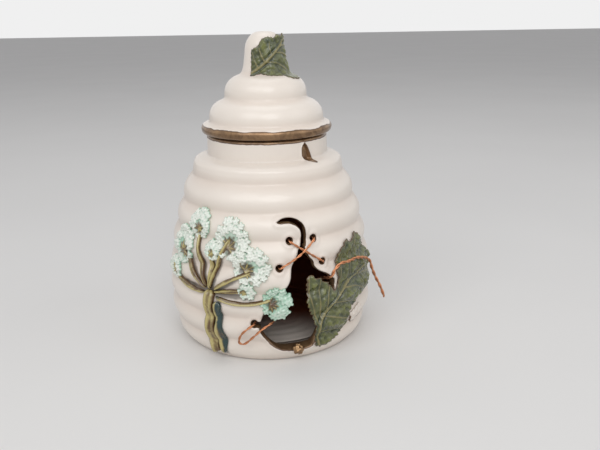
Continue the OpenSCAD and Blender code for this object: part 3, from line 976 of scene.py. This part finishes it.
def lid_profile(wall, lid):
    """(outline, height of the seat, height of the knob's foot)."""
    k = in_mm(lid)
    seat = wall.top + k["seat_gap"]
    rim = wall.neck + k["rim_over"]
    flange = wall.throat - k["flange_gap"]
    hollow = flange - k["flange_wall"]
    tier1 = rim - k["tier1_step"]
    tier1_z = seat + 2 * k["rim_round"]
    tier2 = tier1 - k["tier2_step"]
    tier2_z = tier1_z + k["tier1"]
    knob_z = tier2_z + k["tier2"]
    top = knob_z + k["knob_height"]

    def arc(cx, cz, rx, rz, a0, a1, count=14):
        return [(cx + rx * math.cos(math.radians(a)), cz + rz * math.sin(math.radians(a)))
                for a in np.linspace(a0, a1, count)]

    crown = 2.4  # radius of the flat on top of the knob
    bend = top - 9.0  # where the knob's side turns in to its dome
    roof = k["hollow"] - 2 * k["rim_round"]
    end = seat - k["flange"]
    outline = [(0.0, tier1_z + roof)] + arc(0, tier1_z, hollow, roof, 88, 0)
    outline += [(hollow, end + 0.5), (hollow + 0.5, end), (flange - 0.5, end),
                (flange, end + 0.5)]
    outline += [(flange, seat - 0.2), (flange + 0.3, seat)]
    outline += arc(rim - k["rim_round"], seat + k["rim_round"], k["rim_round"],
                   k["rim_round"], -88, 62, 18)
    outline += arc(tier2, tier1_z + k["tier1"] / 4, tier1 - tier2, k["tier1"] * 0.75, -16, 80, 20)
    outline += arc(k["knob"], tier2_z + k["tier2"] / 4, tier2 - k["knob"], k["tier2"] * 0.75,
                   -14, 78, 20)
    side = [(k["knob"] + (k["knob_top"] - k["knob"]) * t, knob_z + (bend - knob_z) * t)
            for t in (0.3, 0.6, 0.9)]
    outline += [(k["knob"] + 0.5, knob_z + 0.3)] + side
    outline += arc(crown, bend, k["knob_top"] - crown, top - bend, 4, 90)
    outline += [(1.2, top), (0.0, top)]
    outline = np.array(outline)
    start = len(outline) - np.argmax(outline[::-1, 1] < tier1_z - 0.3)
    return soften(outline, start, 0.5, 1.05), seat, knob_z


def soften(line, start, step, reach):
    """The line with its corners from one point on worn round."""
    tail = line[start:]
    run = np.concatenate([[0], np.cumsum(np.hypot(*np.diff(tail, axis=0).T))])
    t = np.linspace(0, run[-1], int(run[-1] / step))
    even = np.stack([np.interp(t, run, tail[:, k]) for k in (0, 1)], -1)
    weight = np.exp(-(((t[:, None] - t) / reach) ** 2) / 2)
    fade = unit(np.minimum(t, run[-1] - t) / 3)[:, None]
    worn = weight @ even / weight.sum(1)[:, None]
    return np.concatenate([line[:start], even + fade * (worn - even)])


class HONEY_OT_lid(bpy.types.Operator):
    """Build the domed lid with its painted rim and knob"""

    bl_idname = "honey.lid"
    bl_label = "Lid"

    def execute(self, context):
        wall, lid, tints = settings()
        outline, seat, knob_z = lid_profile(wall, lid)
        points, faces = lathe(outline)
        r = np.hypot(points[:, 0], points[:, 1])
        place = np.stack([np.arctan2(points[:, 0], -points[:, 1]) * 20, points[:, 2]], -1)
        outside = (points[:, 2] > seat - 0.1) & (r > 24.5)
        hand = 1 - 0.004 * (1 + ripple(place, 22.0, 4)) * (points[:, 2] > seat + 1)
        points[:, :2] *= hand[:, None]
        rim_r = wall.neck + lid.rim_over / MM
        wave = 0.3 * ripple(place * [1, 0], 14.0, 6) + 0.15 * ripple(place * [1, 0], 5.0, 7)
        band = seat + 4.0 + wave - points[:, 2]
        lustre = unit(0.5 + band * 0.9) * outside * (r > rim_r - 3)
        height = points[:, 2]
        groove = np.zeros(len(points))
        # Darker cream at the foot of each tier and of the knob.
        for z in (seat + 5.2, seat + 15.4, knob_z + 0.4):
            groove = np.maximum(groove, hill(height - z, 1.3))
        marks = {
            "lustre": lustre,
            # Painted shade: brown on the lid's underside and in its hollow.
            "inside": (height < seat - 0.3) * 0.15 + (r < 21.7) * (height < seat + 14) * 0.15,
            "groove": groove * 0.8,
        }
        add_mesh("lid_glazed", points, faces, marks, "lid", ["lid"], "cream_glaze",
                 ceramic("cream_lid", tints, metalness=0.8))
        return {"FINISHED"}


def veined(p, rib, veins, thick):
    """A leaf's height over the clay, and how much of it is vein."""
    main = to_line(p, rib)
    twig = to_lines(p, veins)
    net = np.abs(ripple(p, 2.6, 11))
    puff = unit(twig / 2.2) * unit(main / 2.0)
    raised = 0.55 * hill(main, 0.55) + 0.3 * hill(twig, 0.4)
    sunk = 0.25 * hill(main - 1.2, 0.45)
    quilt = ripple(p, 3.0, 13) * puff
    h = 0.38 + 0.36 * puff + 0.2 * net * puff + 0.3 * quilt + raised - sunk
    h += 0.14 * ripple(p, 8.0, 12)
    vein_mark = np.maximum(hill(main, 0.75), 0.85 * hill(twig, 0.5))
    vein_mark = np.maximum(vein_mark, 0.3 * (1 - unit(net * 3)) * puff)
    return np.clip(h, 0.2, 1.3) * thick / 1.3, vein_mark


def leaf_piece(outline, rib, veins, thick, base, radius, pitch, teeth, spacing, curl):
    """(points, faces, marks) of a serrated, veined leaf that lies on a wall."""
    edge = serrate(outline, pitch, teeth)
    low, high = edge.min(0) - 0.6, edge.max(0) + 0.6
    s = np.arange(low[0], high[0], spacing)
    z = np.arange(low[1], high[1], spacing)
    slab = Slab(s, z, lambda p: depth_in(p, edge), 0.3)

    def front(p, d):
        h, _ = veined(p, rib, veins, thick)
        return base(p[:, 1]) + 0.1 + h * unit(0.55 + d / 1.6) + curl(p, d)

    def back(p, d):
        return base(p[:, 1]) + 0.06 + 0.7 * curl(p, d)

    points, faces, places, depths, side = slab.build(front, back, 4, radius)
    h, vein = veined(places, rib, veins, thick)
    marks = {
        "height": unit(h / thick) * (side < 0.7),
        "vein": vein * (side < 0.5),
        "edge": unit(1.1 - depths / 0.9),
    }
    return points, faces, marks


class HONEY_OT_leaves(bpy.types.Operator):
    """Build the broad veined leaf, the torn chip beside it and the leaf round the knob"""

    bl_idname = "honey.leaves"
    bl_label = "Leaves"

    def execute(self, context):
        wall, lid, tints = settings()
        glaze = leaf_glaze("leaf_green", tints)
        rib = smooth_line(on_wall(LEAF_RIB))
        veins = [smooth_line(on_wall(v)) for v in LEAF_VEINS]

        def lift(p, d):
            tip = unit(1 - d / 2.4) ** 2
            return 0.5 * tip * np.clip(0.3 + 0.7 * ripple(p, 6.0, 21), -0.1, 1)

        parts = leaf_piece(on_wall(LEAF), rib, veins, thick=1.7, base=wall.outer,
                           radius=S_RADIUS, pitch=2.6, teeth=0.9, spacing=0.27, curl=lift)
        add_mesh("broad_leaf_veined", *parts, "pot", ["broad_leaf"], "leaf_glaze", glaze)

        chip = on_wall(CHIP)
        slab = Slab(np.arange(chip[:, 0].min() - 1, chip[:, 0].max() + 1, 0.3),
                    np.arange(chip[:, 1].min() - 1, chip[:, 1].max() + 1, 0.3),
                    lambda p: depth_in(p, chip) + 0.4 + 0.3 * ripple(p, 2.5, 31), 0.25)
        points, faces, places, depths, _ = slab.build(
            lambda p, d: wall.outer(p[:, 1]) + 0.5 + 0.4 * unit(ripple(p, 3.0, 32)),
            lambda p, d: wall.outer(p[:, 1]) + 0.06, 4)
        marks = {
            "lustre": unit(1.2 - depths / 0.7) * (places[:, 1] < 16.4),
            "inside": np.zeros(len(places)),
            "groove": unit(0.5 + 0.8 * ripple(places, 3.0, 33)),
        }
        add_mesh("leaf_chip_clay", points, faces, marks, "pot", ["leaf_chip"], "cream_glaze",
                 ceramic("cream_chip", tints))

        outline, _, knob_z = lid_profile(wall, lid)
        k = in_mm(lid)
        knob_s = k["knob"] + 1

        def on_knob(points):
            return np.array([[math.radians(a) * knob_s, knob_z + h * k["knob_height"]]
                             for a, h in points])

        face = np.array([p for p in outline if p[1] > knob_z - 4 and p[0] < 17])

        def knob_face(z):
            worn = np.interp(z, face[:, 1], face[:, 0])
            return np.maximum(worn, k["knob_top"] - 0.8) + 0.1

        def fold(p, d):
            loop = on_knob([[-14, 0.56], [-4, 0.74], [12, 0.8], [22, 0.66], [6, 0.5], [-8, 0.42]])
            rim = 0.55 * hill(to_loop(p, loop), 0.75) * unit(d / 0.8)
            return rim + 0.12 * ripple(p, 5.0, 41) * unit(d)

        rib = smooth_line(on_knob(KNOB_RIB))
        veins = [smooth_line(on_knob(v)) for v in KNOB_VEINS]
        parts = leaf_piece(on_knob(KNOB_LEAF), rib, veins, thick=1.15, base=knob_face,
                           radius=knob_s, pitch=2.0, teeth=0.35, spacing=0.22, curl=fold)
        add_mesh("knob_leaf_veined", *parts, "lid", ["knob_leaf"], "leaf_glaze", glaze)
        return {"FINISHED"}


def ray_path(wall, ray, lift, count=26):
    """A bowed path on the wall from the boss to a ray's far end."""
    azimuth, height, bow = ray
    start = spot(STEM_AZ, NODE_Z)
    step = spot(azimuth, height) - start
    normal = np.array([-step[1], step[0]]) / np.hypot(*step)
    t = np.linspace(0.12, 1.0, count)
    places = start + np.outer(t, step) + np.outer(4 * t * (1 - t) * bow, normal)
    return round_axis(places[:, 0], places[:, 1], wall.outer(places[:, 1]) + lift)


def stalk(path, width, height, ridges, seed):
    """A flattened, ridged stalk along a path."""
    rng = np.random.default_rng(SEED + seed)
    phase = rng.uniform(0, 6.28)

    def section(t, a):
        w = width(t) * (1 + 0.1 * math.sin(9 * t + phase) + 0.07 * math.sin(23 * t + 2 * phase))
        ridge = 1 + 0.22 * np.cos(ridges * a + 2.2 * t + phase) * (np.sin(a) > -0.4)
        close = min(1.0, 8 * t + 0.45, 8 * (1 - t) + 0.45)
        x = w / 2 * np.cos(a) * close
        y = height(t) * np.where(np.sin(a) > 0, np.sin(a) * ridge, 0.25 * np.sin(a)) * close
        return x, y

    points, faces, phase_mark = sweep(path, section, outward)
    angles = np.append(np.tile(np.arange(SIDES) * 2 * math.pi / SIDES, len(path)), [0, 0])
    t = np.append(np.repeat(np.linspace(0, 1, len(path)), SIDES), [0, 1])
    # Painted highlight along the ridge crests on the face side, painted shade down the sides and
    # underneath.
    crest = 0.5 + 0.5 * np.cos(ridges * angles + 2.2 * t + phase)
    crest_and_highlight_mark = unit(phase_mark * (0.45 + 0.6 * crest))
    return points, faces, {"height": crest_and_highlight_mark, "teal": 0.75 * hill(t, 0.14)}


class HONEY_OT_flower(bpy.types.Operator):
    """Build the flower: ridged stem, rays and clustered flower heads"""

    bl_idname = "honey.flower"
    bl_label = "Flower"

    def execute(self, context):
        wall, _, tints = settings()
        olive = stalk_glaze("stalk_olive", tints)
        petals = petal_glaze("petal_white", tints)

        def along(places):
            line = smooth_line(on_wall(places))
            return round_axis(line[:, 0], line[:, 1], wall.outer(line[:, 1]) + 0.35)

        stem = stalk(along(STEM_PATH), lambda t: 4.9 + 1.2 * math.exp(-((t - 0.02) / 0.12) ** 2)
                     + 1.0 * t, lambda t: 2.1, ridges=5, seed=51)
        stem[2]["teal"][:] = 0.15
        add_mesh("flower_stem_ridged", *stem, "pot", ["flower_stem"], "stem_glaze", olive)
        side = stalk(along(SIDE_PATH), lambda t: 4.2 + 1.6 * math.exp(-((t - 0.72) / 0.16) ** 2)
                     + 0.8 * math.sin(11 * t), lambda t: 1.3, ridges=4, seed=52)
        side[2]["teal"] = unit(1.25 - 0.6 * side[2]["height"])
        add_mesh("stem_side_ridged", *side, "pot", ["stem_side"], "teal_glaze", olive)

        for i, ray in enumerate(RAYS):
            path = ray_path(wall, ray, 0.25)
            part = stalk(path, lambda t: 1.3 + 0.7 * min(1, 3 * t), lambda t: 1.55,
                         ridges=3, seed=60 + i)
            add_mesh(f"flower_ray_{i + 1}_ridged", *part, "pot", [f"flower_ray_{i + 1}"],
                     "stem_glaze", olive)
        for i, head in enumerate(HEADS):
            self.head(wall, i, head, petals)
        return {"FINISHED"}

    def head(self, wall, i, head, glaze):
        """A cluster of small frilled florets on short spokes."""
        azimuth, height, half_s, half_z, mint = head
        rng = np.random.default_rng(SEED + 100 + i)
        middle = spot(azimuth, height)
        spread = np.array([half_s, half_z])
        inward = middle - spot(STEM_AZ, NODE_Z)
        inward /= np.hypot(*inward)
        floret_r = 1.9
        centres = []
        for ring in (0.88, 0.56):
            count = max(4, round(2 * math.pi * ring * spread.mean() / (1.7 * floret_r)))
            for k in range(count):
                a = 2 * math.pi * (k + 0.5 * (ring < 0.6)) / count + rng.uniform(-0.15, 0.15)
                centres.append(middle + ring * (spread - 0.7)
                               * np.array([math.cos(a), math.sin(a)]))
        centres = np.array(centres)
        sizes = rng.uniform(0.85, 1.2, len(centres)) * floret_r
        lobes = rng.integers(4, 7, len(centres))
        turns = rng.uniform(0, 6.28, len(centres))
        lifts = rng.uniform(0.75, 1.0, len(centres))
        root = middle - inward * 0.42 * spread
        fan = math.atan2(inward[1], inward[0])
        spokes = []
        for turn in np.linspace(-1.9, 1.9, 7) + rng.uniform(-0.15, 0.15, 7):
            way = np.array([math.cos(fan + turn), math.sin(fan + turn)])
            far = root + way * spread * rng.uniform(0.55, 0.9) * (1.15 - 0.2 * abs(turn))
            bend = (root + far) / 2 + rng.uniform(-0.4, 0.4, 2)
            spokes.append(smooth_line([root, bend, far], 4))

        def florets(p):
            """(how far inside the head, how high florets stand, how near a floret's middle)."""
            best = spread.mean() * (0.74 - np.hypot(*((p - middle) / spread).T))
            tall = np.zeros(len(p))
            core = np.zeros(len(p))
            for c, size, n, turn, up in zip(centres, sizes, lobes, turns, lifts):
                q = p - c
                a = np.arctan2(q[:, 1], q[:, 0])
                gap = np.hypot(*q.T)
                reach = size * (0.86 + 0.18 * np.cos(n * a + turn))
                dome = up * np.sqrt(unit(1 - (gap / np.maximum(reach, 0.1)) ** 2))
                dimple = 0.35 * hill(gap, 0.28 * size)
                tall = np.maximum(tall, dome - dimple)
                core = np.maximum(core, hill(gap, 0.35 * size))
                best = np.maximum(best, reach - gap)
            return best, tall, core

        def hollow(p):
            """1 in the recess that the spokes cross, 0 out among the florets."""
            off = np.hypot(*((p - root - 0.12 * inward * spread) / spread).T)
            return unit((0.56 - off + 0.1 * ripple(p, 3.0, 90 + i)) / 0.3)

        def stroke(p):
            return hill(to_lines(p, spokes), 0.45)

        margin = spread + 1.6
        step = 0.25
        s = np.arange(middle[0] - margin[0], middle[0] + margin[0], step)
        z = np.arange(middle[1] - margin[1], middle[1] + margin[1], step)
        slab = Slab(s, z, lambda p: florets(p)[0], 0.2)

        def front(p, d):
            _, tall, _ = florets(p)
            sunk, spoke = hollow(p), stroke(p)
            h = 0.75 + (1.45 * tall + 0.14 * ripple(p, 1.8, 120 + i)) * (1 - 0.85 * sunk)
            h = h * (1 - 0.35 * sunk) + 0.95 * spoke * (0.3 + 0.7 * sunk)
            return wall.outer(p[:, 1]) + 0.08 + np.clip(h, 0.4, 2.4) * unit(0.5 + d)

        points, faces, places, _, side = slab.build(
            front, lambda p, d: wall.outer(p[:, 1]) + 0.06, 4)
        _, tall, core = florets(places)
        sunk = hollow(places)
        marks = {
            "height": unit(tall) * (1 - sunk),
            "mint": unit(mint + 0.5 * core + 0.3 * (tall < 0.3) - 0.15),
            "deep": sunk * (side < 0.9),
            "spoke": stroke(places) * (0.3 + 0.7 * sunk) * (side < 0.5),
        }
        add_mesh(f"flower_head_{i + 1}_florets", points, faces, marks, "pot",
                 [f"flower_head_{i + 1}"], "flower_glaze", glaze)


class HONEY_OT_bead(bpy.types.Operator):
    """Build the lustred bead on the doorway's sill, with its curl of clay"""

    bl_idname = "honey.bead"
    bl_label = "Bead"

    def execute(self, context):
        wall, _, tints = settings()
        azimuth, z, r = 13.8, 6.4, 2.6
        middle = round_axis(arc_length(azimuth), z + r / 5, float(wall.outer(z)) + r / 3)
        count, rows = 40, 24
        points, height = [], []
        for i in range(1, rows):
            tilt = math.pi * i / rows
            for k in range(count):
                turn = 2 * math.pi * k / count
                n = np.array([math.sin(tilt) * math.cos(turn), math.sin(tilt) * math.sin(turn),
                              math.cos(tilt)])
                curl = 0.1 * math.sin(3 * turn + 4 * tilt) + 0.06 * math.sin(7 * turn - 3 * tilt)
                points.append(middle + n * r * (0.9 + curl) * [1, 1, 0.92])
                # Painted light and shade: height runs from 0 at the bottom of the bead to 1 at its
                # top.
                height.append(0.5 + 0.5 * n[2])
        points += [middle + [0, 0, 0.83 * r], middle - [0, 0, 0.83 * r]]
        height += [1, 0]
        faces = [(face[0], *face[:0:-1]) for face in tube_faces(rows - 1, count)]
        points = np.array(points)
        limit = wall.outer(points[:, 2]) + 0.05
        out = np.hypot(points[:, 0], points[:, 1])
        push = np.maximum(limit / out, 1)
        points[:, :2] *= push[:, None]
        add_mesh("sill_bead_lustre", points, faces, {"height": height}, "pot", ["sill_bead"],
                 "lustre", bronze_lustre("bronze", tints))
        return {"FINISHED"}


def wire_path(wall, route, per=8):
    """A smooth path through [azimuth, height, lift] places."""
    line = smooth_line(route, per)
    r = wall.swell(line[:, 1]) + line[:, 2]
    return round_axis(arc_length(1) * line[:, 0], line[:, 1], r)


def twisted(path, radius, turns_every):
    """Two strands twisted round each other inside the given radius."""
    step = np.gradient(path, axis=0)
    size = np.linalg.norm(step, axis=1)
    step /= size[:, None]
    travel = np.concatenate([[0], np.cumsum(size[1:])])
    side = np.cross(step[0], [0.3, 0.2, 1.0])
    frames = []
    for t in step:
        side = side - (side @ t) * t
        side /= np.linalg.norm(side)
        frames.append((side, np.cross(t, side)))
    strand = radius * 0.52
    offset = radius - strand
    parts = []
    for half in (0, math.pi):
        angle = travel * 2 * math.pi / turns_every + half
        line = np.array([
            p + offset * (math.cos(a) * u + math.sin(a) * v)
            for p, a, (u, v) in zip(path, angle, frames)
        ])
        points, faces, phase = sweep(
            line, lambda t, a: (strand * np.cos(a), strand * np.sin(a)),
            lambda p: np.array([0.3, 0.2, 1.0]) + outward(p))
        # Painted light: height is 1 on the strand's side facing up and out and 0 on the side
        # facing down and in.
        parts.append((points, faces, {"height": unit(0.5 + 0.5 * phase)}))
    return join(parts)


class HONEY_OT_wires(bpy.types.Operator):
    """Build the crossed stitches, the loop and the hook of twisted copper wire"""

    bl_idname = "honey.wires"
    bl_label = "Wires"

    def execute(self, context):
        wall, _, tints = settings()
        copper = copper_wire("copper", tints)

        def stitch(a, b, lift):
            a, b = np.array(a), np.array(b)
            return [[*a, -WIRE_IN], [*a, -WIRE_R], [*(a + 0.12 * (b - a)), ON_FACE],
                    [*((a + b) / 2), lift], [*(b + 0.12 * (a - b)), ON_FACE], [*b, -WIRE_R],
                    [*b, -WIRE_IN]]

        holes = STITCH_HOLES
        crossed = ON_FACE + 2 * WIRE_R + 0.15
        routes = [
            ("stitch_wire_1", stitch(holes[0], holes[3], ON_FACE), WIRE_R, 6.0),
            ("stitch_wire_2", stitch(holes[2], holes[1], crossed), WIRE_R, 6.0),
            ("loop_wire", LOOP, WIRE_R, 7.0),
            ("hook_wire", HOOK, HOOK_R, 7.0),
        ]
        for name, route, radius, twist in routes:
            part = twisted(wire_path(wall, route), radius, twist)
            add_mesh(name + "_twisted", *part, "pot", [name], "copper", copper)
        return {"FINISHED"}


# Stage

FRAME_WIDTH = 600  # pixels
FOCAL_PIXELS = 688.9
CAMERA_DISTANCE, CAMERA_HEIGHT = 319.9, 147.6
CAMERA_TILT, CAMERA_TURN, CAMERA_ROLL = 16.88, 2.65, -0.906


class HONEY_OT_stage(bpy.types.Operator):
    """Set the floor, the soft lights, the pale background and the camera"""

    bl_idname = "honey.stage"
    bl_label = "Stage"

    def execute(self, context):
        self.floor()
        self.lights()
        self.world(context)
        self.camera(context)
        return {"FINISHED"}

    def floor(self):
        mesh = bpy.data.meshes.new("floor")
        half = 6.0
        corners = [(-half, -half, 0), (half, -half, 0), (half, half, 0), (-half, half, 0)]
        mesh.from_pydata(corners, [], [(0, 1, 2, 3)])
        f = Finish("pale_floor")
        cloud = f.noise(6.0, 2.0)
        mesh.materials.append(f.done(
            base_color=f.mix(cloud, srgb(226, 225, 223), srgb(232, 231, 229)), roughness=0.9,
            specular_ior_level=0.1))
        floor = add_object("floor", mesh)

    def lights(self):
        target = Vector((0, 0, 0.065))
        for name, place, size, power in (
            ("key", (-0.55, -0.75, 0.85), 0.8, 3.2),
            ("front", (0.1, -0.8, 0.66), 0.6, 2.7),
            ("side", (0.9, -0.3, 0.6), 0.8, 1.2),
            ("top", (0.0, 0.2, 1.2), 0.9, 2.2),
        ):
            lamp = bpy.data.lights.new(name, "AREA")
            lamp.shape = "DISK"
            lamp.size = size
            lamp.energy = power
            holder = add_object(name, lamp)
            holder.location = place
            holder.rotation_euler = (target - Vector(place)).to_track_quat("-Z", "Y").to_euler()

    def world(self, context):
        world = bpy.data.worlds.new("studio")
        world.use_nodes = True
        context.scene.world = world
        tree = world.node_tree
        soft = tree.nodes["Background"]
        soft.inputs["Color"].default_value = (*srgb(232, 232, 235), 1)
        soft.inputs["Strength"].default_value = 0.5
        seen = tree.nodes.new("ShaderNodeBackground")
        seen.inputs["Color"].default_value = (*srgb(240, 240, 240), 1)
        path = tree.nodes.new("ShaderNodeLightPath")
        most = path.outputs["Is Camera Ray"]
        for ray in ("Is Glossy Ray", "Is Transmission Ray"):
            larger = tree.nodes.new("ShaderNodeMath")
            larger.operation = "MAXIMUM"
            tree.links.new(most, larger.inputs[0])
            tree.links.new(path.outputs[ray], larger.inputs[1])
            most = larger.outputs[0]
        mix = tree.nodes.new("ShaderNodeMixShader")
        tree.links.new(most, mix.inputs[0])
        tree.links.new(soft.outputs[0], mix.inputs[1])
        tree.links.new(seen.outputs[0], mix.inputs[2])
        tree.links.new(mix.outputs[0], tree.nodes["World Output"].inputs["Surface"])

    def camera(self, context):
        lens = bpy.data.cameras.new("camera")
        lens.sensor_width = 36.0
        lens.lens = FOCAL_PIXELS * lens.sensor_width / FRAME_WIDTH
        camera = add_object("camera", lens)
        camera.location = (0, -CAMERA_DISTANCE * MM, CAMERA_HEIGHT * MM)
        turn = Matrix.Rotation(-math.radians(CAMERA_TURN), 3, "Z")
        tilt = Matrix.Rotation(math.radians(90 - CAMERA_TILT), 3, "X")
        roll = Matrix.Rotation(math.radians(CAMERA_ROLL), 3, "Z")
        camera.rotation_euler = (turn @ tilt @ roll).to_euler()
        context.scene.camera = camera
        context.scene.view_settings.view_transform = "Standard"


class HONEY_PT_panel(bpy.types.Panel):
    """Sizes, colours and pieces of the honey pot"""

    bl_label = "Honey Pot"
    bl_idname = "HONEY_PT_panel"
    bl_space_type = "VIEW_3D"
    bl_region_type = "UI"
    bl_category = "Honey Pot"

    def draw(self, context):
        for operator in OPERATORS:
            self.layout.operator(operator.bl_idname)
        for group in (context.scene.honey_pot, context.scene.honey_lid,
                      context.scene.honey_colours):
            for name in group.__annotations__:
                self.layout.prop(group, name)


GROUPS = {"honey_pot": PotSizes, "honey_lid": LidSizes, "honey_colours": Colours}
OPERATORS = (HONEY_OT_stage, HONEY_OT_pot, HONEY_OT_lid, HONEY_OT_leaves, HONEY_OT_flower,
             HONEY_OT_bead, HONEY_OT_wires)


def register():
    for name, group in GROUPS.items():
        bpy.utils.register_class(group)
        setattr(bpy.types.Scene, name, bpy.props.PointerProperty(type=group))
    for made in (*OPERATORS, HONEY_PT_panel):
        bpy.utils.register_class(made)


def unregister():
    for made in reversed((*OPERATORS, HONEY_PT_panel)):
        bpy.utils.unregister_class(made)
    for name, group in GROUPS.items():
        delattr(bpy.types.Scene, name)
        bpy.utils.unregister_class(group)


def main():
    register()
    bpy.ops.honey.stage()
    bpy.ops.honey.pot()
    bpy.ops.honey.lid()
    bpy.ops.honey.leaves()
    bpy.ops.honey.flower()
    bpy.ops.honey.bead()
    bpy.ops.honey.wires()
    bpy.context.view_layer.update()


if __name__ == "__main__":
    main()
